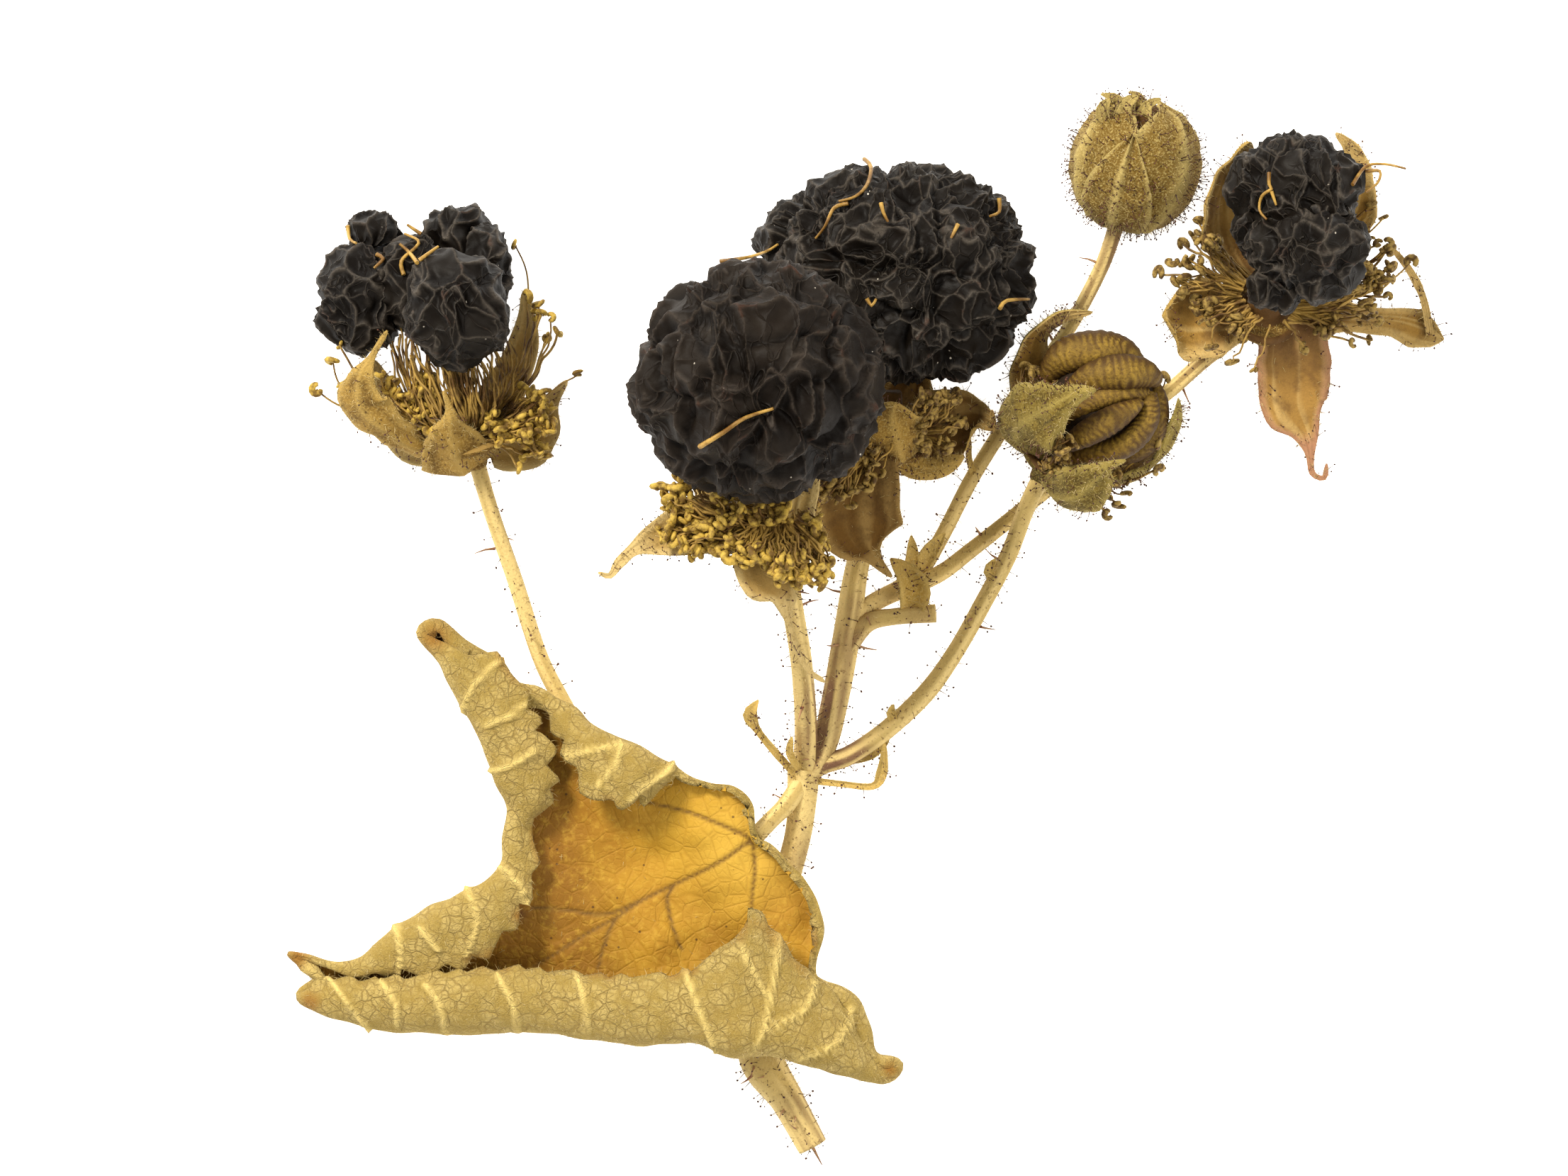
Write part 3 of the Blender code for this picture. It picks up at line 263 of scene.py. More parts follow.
class BristleTree(GrowthTree):
    """Strews bristles over a skin, each along its normal and a little aslant.

    The skin's points say under "cover" how densely it is covered. Each bristle is built one long,
    and scaled by its length.
    """

    def __init__(self, bristle: Bristle) -> None:
        """Takes which bristle the tree grows."""
        super().__init__(f"strewn_{bristle.value}s", {
            "Density": float, "Shortest": float, "Longest": float, "Thickness": float, "Bend": float,
            "Lean": float, "Head": float, "Seed": int, "Material": "material",
        })
        graph, given = self.graph, self.given
        density = graph.times(given["Density"], self.named("cover"))
        strewn = graph.add("GeometryNodeDistributePointsOnFaces", {
            "Mesh": given["Geometry"], "Density": density, "Seed": given["Seed"],
        })
        aslant = graph.add("FunctionNodeRandomValue", {
            0: (-1.0, -1.0, -1.0), 1: (1.0, 1.0, 1.0), "Seed": given["Seed"],
        }, data_type="FLOAT_VECTOR").outputs[0]
        towards = graph.vector("ADD", strewn.outputs["Normal"], graph.scaled(aslant, given["Lean"]))
        upright = graph.add("FunctionNodeAlignRotationToVector", {"Vector": towards}, axis="Z").outputs[0]
        spin = graph.add("FunctionNodeAxisAngleToRotation", {
            "Axis": (0.0, 0.0, 1.0), "Angle": self.chance(0.0, 2 * math.pi, 1),
        }).outputs[0]
        turned = graph.add("FunctionNodeRotateRotation", {0: upright, 1: spin}, rotation_space="LOCAL")
        placed = graph.add("GeometryNodeInstanceOnPoints", {
            "Points": strewn.outputs["Points"], "Instance": self.bristle(bristle),
            "Rotation": turned.outputs[0], "Scale": self.chance(given["Shortest"], given["Longest"], 2),
        }).outputs[0]
        self.end(placed)

    def bristle(self, bristle: Bristle) -> Socket:
        """One bristle, one long and bent sideways towards its end.

        Args:
            bristle: Which bristle it is.

        Returns:
            Its mesh.
        """
        graph, given = self.graph, self.given
        radius = given["Thickness"]
        stalk = graph.add("GeometryNodeMeshCone", {
            "Vertices": 3, "Side Segments": 2, "Radius Top": graph.times(radius, 0.25),
            "Radius Bottom": radius, "Depth": 1.0,
        }, fill_type="NONE").outputs[0]
        shape = stalk
        if bristle is Bristle.GLAND:
            knob = graph.add("GeometryNodeMeshIcoSphere", {"Radius": given["Head"], "Subdivisions": 1})
            raised = graph.add("GeometryNodeTransform", {
                "Geometry": knob.outputs[0], "Translation": (0.0, 0.0, 1.0),
            }).outputs[0]
            shape = graph.add("GeometryNodeJoinGeometry", {0: stalk}).outputs[0]
            self.group.links.new(raised, shape.node.inputs[0])
        height = graph.add("ShaderNodeSeparateXYZ", {0: graph.add("GeometryNodeInputPosition").outputs[0]})
        bow = graph.times(graph.math("POWER", height.outputs[2], 2.0), given["Bend"])
        offset = graph.add("ShaderNodeCombineXYZ", {0: bow}).outputs[0]
        return graph.add("GeometryNodeSetPosition", {"Geometry": shape, "Offset": offset}).outputs[0]


class ThreadTree(GrowthTree):
    """Turns lines of edges into round threads, as thick as their points say under "thick"."""

    def __init__(self) -> None:
        """Builds the tree."""
        super().__init__("round_threads", {"Sides": int, "Material": "material"})
        graph, given = self.graph, self.given
        lines = graph.add("GeometryNodeMeshToCurve", {0: given["Geometry"]}).outputs[0]
        section = graph.add("GeometryNodeCurvePrimitiveCircle", {
            "Resolution": given["Sides"], "Radius": 1.0,
        }, mode="RADIUS").outputs[0]
        threads = graph.add("GeometryNodeCurveToMesh", {
            "Curve": lines, "Profile Curve": section, "Scale": self.named("thick"), "Fill Caps": True,
        }).outputs[0]
        self.end(threads)


class CopyTree(GrowthTree):
    """Puts a copy of one object at each point, turned at random and as large as "size" says."""

    def __init__(self) -> None:
        """Builds the tree."""
        super().__init__("strewn_copies", {"Copied": "object", "Seed": int, "Material": "material"})
        graph, given = self.graph, self.given
        copied = graph.add("GeometryNodeObjectInfo", {0: given["Copied"]}, transform_space="ORIGINAL")
        turned = graph.add("FunctionNodeRandomValue", {
            0: (0.0, 0.0, 0.0), 1: (2 * math.pi,) * 3, "Seed": given["Seed"],
        }, data_type="FLOAT_VECTOR").outputs[0]
        rotation = graph.add("FunctionNodeEulerToRotation", {0: turned}).outputs[0]
        placed = graph.add("GeometryNodeInstanceOnPoints", {
            "Points": graph.add("GeometryNodeMeshToPoints", {0: given["Geometry"]}).outputs[0],
            "Instance": copied.outputs["Geometry"], "Rotation": rotation, "Scale": self.named("size"),
        }).outputs[0]
        self.end(placed)


class CrumpleTree(GrowthTree):
    """Crumples the skin of a berry: drupelets, sunken facets between sharp folds, and fine creases.

    It keeps under "valley" where the skin lies deep, and the place that its folds are worked out from.
    """

    def __init__(self) -> None:
        """Builds the tree."""
        super().__init__("crumpled_skin", {
            "Drupelet size": float, "Valley depth": float, "Fold size": float, "Fold height": float,
            "Crease height": float, "Warp": float, "Shorten": float, "Seed": int,
            "Material": "material",
        })
        graph, given = self.graph, self.given
        position = graph.add("GeometryNodeInputPosition").outputs[0]
        apart = graph.scaled((3.1, 5.7, 1.9), given["Seed"])
        place = graph.vector("ADD", position, apart)
        wide = self.warped(place, 2.6, given["Warp"])
        close = self.warped(wide, 0.9, graph.times(given["Warp"], 0.35))
        along = graph.add("ShaderNodeCombineXYZ", {0: 1.0, 1: given["Shorten"], 2: given["Shorten"]})
        close = graph.vector("MULTIPLY", close, along.outputs[0])
        drawn = graph.vector("DIVIDE", close, given["Fold size"])
        dome = self.dome(wide, given["Drupelet size"])
        groove = graph.net(wide, given["Drupelet size"], 0.07)
        uneven = graph.math("SUBTRACT", graph.noise(place, 1.6, 2.0), 0.5)
        main, fine = graph.crumple(drawn, 1.0)
        height = graph.times(dome, given["Valley depth"])
        height = graph.times_plus(groove, graph.times(given["Valley depth"], -0.4), height)
        height = graph.times_plus(main, given["Fold height"], height)
        height = graph.times_plus(fine, given["Crease height"], height)
        height = graph.times_plus(uneven, graph.times(given["Fold height"], 1.3), height)
        valley = graph.math("MAXIMUM", groove, graph.times(dome, -1.0))
        skin = self.kept(given["Geometry"], "valley", valley)
        parts = graph.add("ShaderNodeSeparateXYZ", {0: drawn}).outputs
        for label, part in zip(SKIN_PLACE, parts):
            skin = self.kept(skin, label, part)
        normal = graph.add("GeometryNodeInputNormal").outputs[0]
        lift = graph.scaled(normal, height)
        self.end(graph.add("GeometryNodeSetPosition", {"Geometry": skin, "Offset": lift}).outputs[0])

    def warped(self, place: object, size: float, reach: object) -> Socket:
        """A place pushed about by soft noise, so that what is drawn there isn't straight.

        Args:
            place: The place.
            size: About how wide the noise's blotches are.
            reach: How far it pushes.

        Returns:
            The place that it is pushed to.
        """
        inputs = {"Vector": place, "Scale": 1.0 / size, "Detail": 1.0}
        push = self.graph.add("ShaderNodeTexNoise", inputs, noise_dimensions="3D").outputs[1]
        centred = self.graph.vector("SUBTRACT", push, (0.5, 0.5, 0.5))
        return self.graph.vector("ADD", place, self.graph.scaled(centred, reach))

    def dome(self, place: object, size: object) -> Socket:
        """How far the skin falls from a drupelet's top: 0 there and -1 at its foot."""
        graph = self.graph
        away = graph.math("MINIMUM", graph.times(graph.cells(place, size), 1.15), 1.0)
        return graph.times(graph.math("POWER", away, 2.5), -1.0)

    def kept(self, geometry: object, label: str, value: object) -> Socket:
        """The geometry with a value kept at its points under that name."""
        inputs = {"Geometry": geometry, "Name": label, "Value": value}
        return self.graph.add("GeometryNodeStoreNamedAttribute", inputs, data_type="FLOAT").outputs[0]


# Finishes


@dataclass(frozen=True)
class Finish:
    """A finish whose colour and fine relief come from the place on the piece, in millimetres."""

    name: str
    roughness: float = 0.8
    specular: float = 0.3
    sheen: float = 0.0
    sheen_tint: Colour = (1.0, 1.0, 1.0)

    def paint(self, graph: Graph, place: Socket) -> Painted:
        """Works out the finish.

        Args:
            graph: The material's nodes.
            place: The place on the piece, in millimetres.

        Returns:
            The colour, and the height of the fine relief in millimetres.
        """
        raise NotImplementedError

    def value(self, graph: Graph, label: str) -> Socket:
        """A number that the piece's points hold under that name."""
        return graph.add("ShaderNodeAttribute", attribute_name=label).outputs["Fac"]

    @cache
    def material(self) -> bpy.types.Material:
        """The material, made once for each finish."""
        made = bpy.data.materials.new(self.name)
        made.use_nodes = True
        made.node_tree.nodes.clear()
        graph = Graph(made.node_tree)
        where = graph.add("ShaderNodeTexCoord").outputs["Object"]
        colour, height = self.paint(graph, graph.scaled(where, 1.0 / MM))
        inputs = {
            "Base Color": (*colour, 1.0) if isinstance(colour, tuple) else colour,
            "Roughness": self.roughness, "Specular IOR Level": self.specular,
            "Sheen Weight": self.sheen, "Sheen Tint": (*self.sheen_tint, 1.0),
        }
        if isinstance(height, Socket):
            bump = {"Strength": 1.0, "Distance": MM, "Height": height}
            inputs["Normal"] = graph.add("ShaderNodeBump", bump).outputs[0]
        skin = graph.add("ShaderNodeBsdfPrincipled", inputs)
        graph.add("ShaderNodeOutputMaterial", {0: skin.outputs[0]})
        return made


@dataclass(frozen=True)
class BerrySkin(Finish):
    """Dried berry skin: matte black, with a painted highlight along its folds and creases, painted shade in
    its valleys, rusty edges and pale specks.
    """

    skin: Colour = (0.0062, 0.0043, 0.0028)
    bloom: Colour = (0.0110, 0.0086, 0.0064)
    # painted highlight along the folds and creases
    crest: Colour = (0.074, 0.062, 0.050)
    rust: Colour = (0.055, 0.018, 0.009)
    # painted shade in the valleys between drupelets
    deep: Colour = (0.0030, 0.0020, 0.0014)
    speck: Colour = (0.55, 0.50, 0.42)

    def paint(self, graph: Graph, place: Socket) -> Painted:
        """As Finish.paint says."""
        parts = {k: self.value(graph, label) for k, label in enumerate(SKIN_PLACE)}
        main, creases = graph.crumple(graph.add("ShaderNodeCombineXYZ", parts).outputs[0], 0.45)
        folds = graph.math("MAXIMUM", main, graph.times(creases, 0.8))
        ridge = graph.ramp(folds, 0.30, 0.95)
        fine = graph.noise(place, 0.14, 4.0)
        rusty = graph.times(ridge, graph.ramp(graph.noise(place, 1.0), 0.58, 0.68))
        rare = graph.ramp(graph.noise(place, 1.3), 0.55, 0.6)
        colour = graph.layered(self.skin, [
            (graph.ramp(graph.noise(place, 2.2), 0.42, 0.62), self.bloom),
            # painted shade: darker where the skin lies deep
            (graph.times(self.value(graph, "valley"), 0.85), self.deep),
            # painted highlight along the folds and creases
            (graph.times(ridge, graph.ramp(fine, 0.2, 0.55)), self.crest),
            (graph.times(rusty, 0.5), self.rust),
            (graph.times(graph.dots(place, 0.62, 0.05, 0.09), rare), self.speck),
        ])
        return colour, graph.times_plus(fine, 0.012, graph.times(folds, 0.11))


@dataclass(frozen=True)
class Felt(Finish):
    """Felted skin: mottled, paler on its rims and ribs, with dark dots where glands sit."""

    base: Colour = (0.33, 0.195, 0.038)
    light: Colour = (0.54, 0.365, 0.105)
    dark: Colour = (0.14, 0.075, 0.014)
    dot: Colour = (0.05, 0.022, 0.008)
    dots: float = 0.7  # how strongly the dots show

    def paint(self, graph: Graph, place: Socket) -> Painted:
        """As Finish.paint says."""
        mottled = graph.ramp(graph.noise(place, 1.1, 5.0), 0.36, 0.6)
        fibre = graph.noise(place, 0.09, 4.0)
        ground = graph.blend(mottled, self.dark, self.base)
        ground = graph.blend(graph.ramp(self.value(graph, "streak"), 0.1, 0.4), self.dark, ground)
        rim = graph.math("MAXIMUM", self.value(graph, "rim"), self.value(graph, "rib"))
        colour = graph.layered(ground, [
            (graph.times(graph.ramp(fibre, 0.45, 0.72), 0.7), self.light),
            (graph.times(rim, 0.6), self.light),
            (graph.times(graph.dots(place, 0.33, 0.12, 0.20), self.dots), self.dot),
        ])
        return colour, graph.times(fibre, 0.09)


@dataclass(frozen=True)
class InnerSepal(Finish):
    """The smooth inside of a sepal: orange-brown, darker towards its foot, with fine long streaks."""

    base: Colour = (0.34, 0.19, 0.036)
    light: Colour = (0.56, 0.39, 0.14)
    dark: Colour = (0.10, 0.046, 0.009)
    pink: Colour = (0.28, 0.105, 0.075)

    def paint(self, graph: Graph, place: Socket) -> Painted:
        """As Finish.paint says."""
        mottled = graph.noise(place, 0.8, 4.0)
        colour = graph.layered(self.dark, [
            (graph.ramp(self.value(graph, "along"), 0.0, 0.55), self.base),
            (graph.times(graph.ramp(self.value(graph, "streak"), 0.45, 0.9), 0.6), self.light),
            (graph.times(graph.ramp(mottled, 0.45, 0.7), 0.6), self.dark),
            (graph.times(self.value(graph, "rim"), 0.85), self.light),
            (self.value(graph, "blush"), self.pink),
        ])
        return colour, graph.times(graph.noise(place, 0.16), 0.05)


@dataclass(frozen=True)
class LeafInside(Finish):
    """The leaf's upper face: ochre, with dark sunken veins, a fine net and black dots, painted light round
    the stalk and painted shadow along its left side.
    """

    base: Colour = (0.46, 0.25, 0.016)
    pale: Colour = (0.58, 0.355, 0.042)
    deep: Colour = (0.33, 0.155, 0.009)
    vein: Colour = (0.15, 0.075, 0.012)
    # the colour of the painted shadow on the blade's left side
    shaded: Colour = (0.22, 0.095, 0.006)
    scorched: Colour = (0.13, 0.05, 0.012)
    dot: Colour = (0.05, 0.02, 0.005)

    def paint(self, graph: Graph, place: Socket) -> Painted:
        """As Finish.paint says."""
        grain = graph.noise(place, 0.3, 5.0)
        fine = graph.times(graph.net(place, 0.36, 0.07), 0.45)
        lines = graph.math("MAXIMUM", graph.net(place, 0.85, 0.05), fine)
        colour = graph.layered(self.deep, [
            (graph.ramp(graph.noise(place, 5.0, 2.0), 0.35, 0.6), self.base),
            # painted light: paler round the stalk
            (self.value(graph, "glow"), self.pale),
            # painted shadow of the rolled edge on the blade's left side
            (self.value(graph, "shade"), self.shaded),
            (graph.times(graph.ramp(grain, 0.45, 0.75), 0.5), self.pale),
            (graph.times(lines, 0.22), self.deep),
            (self.value(graph, "vein"), self.vein),
            (self.value(graph, "scorch"), self.scorched),
            (graph.times(graph.dots(place, 0.75, 0.05, 0.10), 0.75), self.dot),
        ])
        return colour, graph.times_plus(lines, -0.02, graph.times(grain, 0.03))


@dataclass(frozen=True)
class LeafFelt(Finish):
    """The leaf's felted lower face: khaki with a brown net, pale veins and scorched tips."""

    base: Colour = (0.34, 0.235, 0.056)
    light: Colour = (0.51, 0.38, 0.128)
    net: Colour = (0.20, 0.118, 0.023)
    vein: Colour = (0.88, 0.67, 0.23)
    scorched: Colour = (0.30, 0.14, 0.025)

    def paint(self, graph: Graph, place: Socket) -> Painted:
        """As Finish.paint says."""
        mottled = graph.noise(place, 0.9, 4.0)
        fibre = graph.noise(place, 0.07, 4.0)
        push = graph.add("ShaderNodeTexNoise", {"Vector": place, "Scale": 1.6}).outputs[1]
        centred = graph.vector("SUBTRACT", push, (0.5, 0.5, 0.5))
        warped = graph.vector("ADD", place, graph.scaled(centred, 0.45))
        fine = graph.times(graph.net(warped, 0.27, 0.08), 0.55)
        lines = graph.math("MAXIMUM", graph.net(warped, 0.62, 0.05), fine)
        lines = graph.times(lines, graph.ramp(mottled, 0.3, 0.6))
        colour = graph.layered(self.base, [
            (graph.ramp(mottled, 0.35, 0.65), self.light),
            (graph.times(graph.ramp(fibre, 0.4, 0.7), 0.45), self.light),
            (graph.times(lines, 0.6), self.net),
            (self.value(graph, "vein"), self.vein),
            (self.value(graph, "scorch"), self.scorched),
        ])
        return colour, graph.times_plus(lines, -0.06, graph.times(fibre, 0.09))


@dataclass(frozen=True)
class StemBark(Finish):
    """Dry stem: straw-coloured with long streaks, and purplish-brown where the sun reddened it."""

    straw: Colour = (0.50, 0.36, 0.12)
    light: Colour = (0.68, 0.51, 0.20)
    dark: Colour = (0.24, 0.15, 0.05)
    blush: Colour = (0.17, 0.085, 0.045)

    def paint(self, graph: Graph, place: Socket) -> Painted:
        """As Finish.paint says."""
        streak = self.value(graph, "streak")
        colour = graph.layered(self.straw, [
            (graph.ramp(streak, 0.25, 0.75), self.light),
            (graph.ramp(graph.noise(place, 0.2, 4.0), 0.56, 0.72), self.dark),
            (graph.times(self.value(graph, "blush"), graph.ramp(streak, 0.9, 0.3)), self.blush),
        ])
        return colour, graph.times(graph.noise(place, 0.1), 0.05)


@dataclass(frozen=True)
class PetalSkin(Finish):
    """Browned petals: dark brown, with a painted golden highlight on their upper sides and wrinkle crests,
    and painted shade, nearly black, underneath and in the grooves.
    """

    base: Colour = (0.070, 0.033, 0.004)
    # painted golden highlight on the upper sides and wrinkle crests
    gold_highlight: Colour = (0.33, 0.205, 0.024)
    # painted shade under the crescents and in the grooves between wrinkles
    groove: Colour = (0.020, 0.010, 0.003)

    def paint(self, graph: Graph, place: Socket) -> Painted:
        """As Finish.paint says."""
        fine = graph.noise(place, 0.12, 4.0)
        # back: 1 where a crescent faces up and on its wrinkles' crests; it places the painted highlight and
        # shade
        back = self.value(graph, "back")
        patchy = graph.ramp(graph.noise(place, 1.6), 0.3, 0.65)
        highlight_share = graph.times(graph.ramp(back, 0.60, 1.05), graph.times_plus(patchy, 0.65, 0.30))
        colour = graph.layered(self.groove, [
            # painted shade: nearly black where the crescents face down and in the grooves
            (graph.ramp(back, 0.05, 0.55), self.base),
            # painted golden highlight on the upper sides and wrinkle crests
            (graph.times(highlight_share, graph.ramp(fine, 0.2, 0.6)), self.gold_highlight),
        ])
        return colour, graph.times(fine, 0.06)


@dataclass(frozen=True)
class Mottled(Finish):
    """A plain small part in two tones: threads, anthers, hairs, glands and prickles."""

    dark: Colour = (0.1, 0.05, 0.02)
    light: Colour = (0.3, 0.2, 0.08)
    patch: float = 0.4

    def paint(self, graph: Graph, place: Socket) -> Painted:
        """As Finish.paint says."""
        share = graph.ramp(graph.noise(place, self.patch), 0.35, 0.65)
        return graph.blend(share, self.dark, self.light), None


BERRY = BerrySkin("dried_berry", roughness=0.5, specular=0.10)
# the brown berry's crest is a fainter painted highlight along its folds
BROWN_BERRY = BerrySkin(
    "brown_berry", roughness=0.55, specular=0.08, skin=(0.0100, 0.0068, 0.0045),
    bloom=(0.0150, 0.0110, 0.0078), crest=(0.040, 0.031, 0.024),
)
SEPAL_FELT = Felt("sepal_felt", roughness=0.95, specular=0.15, sheen=0.08, sheen_tint=(0.9, 0.8, 0.55))
OLIVE_FELT = Felt(
    "olive_felt", roughness=0.95, specular=0.15, sheen=0.08, sheen_tint=(0.85, 0.85, 0.6),
    base=(0.20, 0.135, 0.022), light=(0.40, 0.31, 0.085), dark=(0.085, 0.055, 0.011), dots=0.85,
)
BUD_FELT = Felt(
    "bud_felt", roughness=0.95, specular=0.15, sheen=0.08, sheen_tint=(0.9, 0.85, 0.6),
    base=(0.35, 0.235, 0.042), light=(0.60, 0.47, 0.17), dark=(0.17, 0.10, 0.018), dots=0.85,
)
BRACT_FELT = Felt(
    "bract_felt", roughness=0.9, specular=0.15, base=(0.50, 0.31, 0.06), light=(0.66, 0.48, 0.16),
    dark=(0.33, 0.19, 0.03), dots=0.4,
)
PALE_INSIDE = InnerSepal(
    "pale_inside", roughness=0.85, base=(0.40, 0.26, 0.075), light=(0.60, 0.45, 0.19),
    dark=(0.34, 0.21, 0.055),
)
SEPAL_INSIDE = InnerSepal("sepal_inside", roughness=0.75)
VELVET_INSIDE = InnerSepal(
    "velvet_inside", roughness=0.95, base=(0.13, 0.063, 0.010), light=(0.33, 0.21, 0.065),
    dark=(0.08, 0.038, 0.007),
)
LEAF_INSIDE = LeafInside("leaf_inside", roughness=0.7)
LEAF_FELT = LeafFelt("leaf_felt", roughness=0.95, specular=0.12, sheen=0.08, sheen_tint=(1.0, 0.9, 0.65))
STEM = StemBark("stem_bark", roughness=0.75)
PETAL = PetalSkin("petal_skin", roughness=0.65)
FILAMENT = Mottled(
    "filament", roughness=0.6, dark=(0.10, 0.048, 0.010), light=(0.40, 0.25, 0.055), patch=0.9,
)
ANTHER = Mottled("anther", roughness=0.7, dark=(0.075, 0.038, 0.008), light=(0.36, 0.24, 0.06), patch=0.25)
YELLOW_ANTHER = Mottled(
    "yellow_anther", roughness=0.7, dark=(0.13, 0.07, 0.011), light=(0.56, 0.38, 0.065), patch=0.35,
)
STYLE = Mottled("style", roughness=0.5, dark=(0.16, 0.075, 0.012), light=(0.46, 0.28, 0.06), patch=0.9)
PALE_HAIR = Mottled("pale_hair", roughness=0.6, dark=(0.42, 0.31, 0.11), light=(0.70, 0.56, 0.27))
GLAND = Mottled("gland", roughness=0.5, dark=(0.035, 0.012, 0.008), light=(0.10, 0.035, 0.018))
PRICKLE = Mottled("prickle", roughness=0.5, dark=(0.17, 0.06, 0.03), light=(0.42, 0.25, 0.12), patch=0.8)


# Meshes


@dataclass
class Shell:
    """A mesh in millimetres: its points and faces, each face's material and values at the points."""

    points: Array
    faces: Faces
    slots: list[int] = field(default_factory=list)
    values: dict[str, Array] = field(default_factory=dict)
    lines: list[tuple[int, int]] = field(default_factory=list)

    @classmethod
    def joined(cls, shells: Iterable["Shell"]) -> "Shell":
        """One shell from several, whose values are 0 where a shell has none.

        Args:
            shells: The shells.

        Returns:
            The one shell, in their order.
        """
        shells = list(shells)
        labels = sorted({label for shell in shells for label in shell.values})
        points, faces, slots, lines, start = [], [], [], [], 0
        for shell in shells:
            points.append(shell.points)
            faces += [tuple(i + start for i in face) for face in shell.faces]
            lines += [(a + start, b + start) for a, b in shell.lines]
            slots += shell.slots or [0] * len(shell.faces)
            start += len(shell.points)
        values = {
            label: np.concatenate([s.values.get(label, np.zeros(len(s.points))) for s in shells])
            for label in labels
        }
        return cls(np.concatenate(points), faces, slots, values, lines)

    def mesh(self, name: str) -> bpy.types.Mesh:
        """The shell as Blender mesh data, still in millimetres."""
        made = bpy.data.meshes.new(name)
        made.from_pydata(self.points.tolist(), self.lines, self.faces)
        if self.slots:
            made.polygons.foreach_set("material_index", self.slots)
        for label, numbers in self.values.items():
            held = made.attributes.new(label, "FLOAT", "POINT")
            held.data.foreach_set("value", numbers.astype(np.float32))
        made.shade_smooth()
        made.update()
        return made

    def grown(self, tree: GrowthTree, settings: dict[str, object]) -> bpy.types.Mesh:
        """What a tree makes of the shell, as a plain mesh in millimetres.

        Args:
            tree: The geometry tree.
            settings: A value for each of its inputs, by name.

        Returns:
            The mesh.
        """
        guide = linked("guide", self.mesh("guide"))
        growth = guide.modifiers.new("growth", "NODES")
        growth.node_group = tree.group
        for label, value in settings.items():
            growth[tree.sockets[label]] = value
        bpy.context.view_layer.update()
        ready = guide.evaluated_get(bpy.context.evaluated_depsgraph_get())
        made = bpy.data.meshes.new_from_object(ready)
        bpy.data.objects.remove(guide)
        return made


def linked(name: str, data: bpy.types.ID) -> bpy.types.Object:
    """A new object in the scene, at its origin."""
    made = bpy.data.objects.new(name, data)
    bpy.context.scene.collection.objects.link(made)
    return made


def finished(name: str, mesh: bpy.types.Mesh, finishes: Sequence[Finish], slot: str) -> bpy.types.Object:
    """A piece of the sprig from a mesh in millimetres, riding on the sprig's body.

    Args:
        name: The piece's name.
        mesh: Its mesh, in millimetres from the main node.
        finishes: Its finishes, in the order of the faces' material numbers.
        slot: The record's material slot; not used.

    Returns:
        The piece, in metres in the frame.
    """
    count = len(mesh.vertices)
    places = np.empty(count * 3, np.float32)
    mesh.vertices.foreach_get("co", places)
    placed = places.reshape(-1, 3) * MM + MAIN_NODE
    placed[:, 2] = np.maximum(placed[:, 2], 0.0)
    mesh.vertices.foreach_set("co", placed.astype(np.float32).ravel())
    if not mesh.materials:
        for finish in finishes:
            mesh.materials.append(finish.material())
    mesh.name = name
    mesh.update()
    piece = linked(name, mesh)
    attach(piece, BODY)
    mesh.calc_loop_triangles()
    LOG.info("%s: %d triangles", name, len(mesh.loop_triangles))
    return piece


def smooth(points: Sequence[Point], step: float, closed: bool = False, axes: int = 3) -> Array:
    """Points on a smooth curve through others.

    Args:
        points: The points, which may carry further values.
        step: About how far apart the new points are.
        closed: Whether the curve comes back to its start.
        axes: How many of the values are coordinates.

    Returns:
        The points, one in each row, with their further values.
    """
    given = np.asarray(points, float)
    count = len(given)
    found = []
    for i in range(count if closed else count - 1):
        near = np.arange(i - 1, i + 3)
        before, start, end, after = given[near % count if closed else np.clip(near, 0, count - 1)]
        pieces = max(1, round(float(np.linalg.norm((end - start)[:axes])) / step))
        for share in np.arange(pieces) / pieces:
            found.append(0.5 * (
                2 * start + (end - before) * share
                + (2 * before - 5 * start + 4 * end - after) * share ** 2
                + (3 * start - before - 3 * end + after) * share ** 3
            ))
    if not closed:
        found.append(given[-1])
    return np.array(found)


def ripple(points: Array, size: float, seed: int, waves: int = 14) -> Array:
    """Soft random relief, about -1 to 1, from plane waves that cross each other.

    Args:
        points: Where it is wanted, one place in each row.
        size: The length of the waves.
        seed: What makes one relief differ from another.
        waves: How many waves there are.

    Returns:
        A value for each point.
    """
    chance = np.random.default_rng(seed)
    ways = chance.normal(size=(points.shape[1], waves))
    ways *= 2 * math.pi / (size * chance.uniform(0.7, 1.6, waves)) / np.linalg.norm(ways, axis=0)
    return np.sin(points @ ways + chance.uniform(0, 2 * math.pi, waves)).sum(axis=1) / math.sqrt(waves)


def eased(values: Array, low: float, high: float) -> Array:
    """Values eased from 0 at low to 1 at high."""
    share = np.clip((values - low) / (high - low), 0.0, 1.0)
    return share * share * (3 - 2 * share)


def unit(vectors: Array) -> Array:
    """Each vector at length 1."""
    return vectors / np.maximum(np.linalg.norm(vectors, axis=-1, keepdims=True), 1e-9)


def grid_faces(rows: int, columns: int, closed: bool) -> Faces:
    """Faces between the points of a grid, row by row, whose columns may close into a ring.

    Args:
        rows: How many rows the grid has.
        columns: How many points a row has.
        closed: Whether each row is a ring.

    Returns:
        The faces.
    """
    found = []
    for i in range(rows - 1):
        for j in range(columns if closed else columns - 1):
            k = (j + 1) % columns
            found.append((i * columns + j, i * columns + k, (i + 1) * columns + k, (i + 1) * columns + j))
    return found


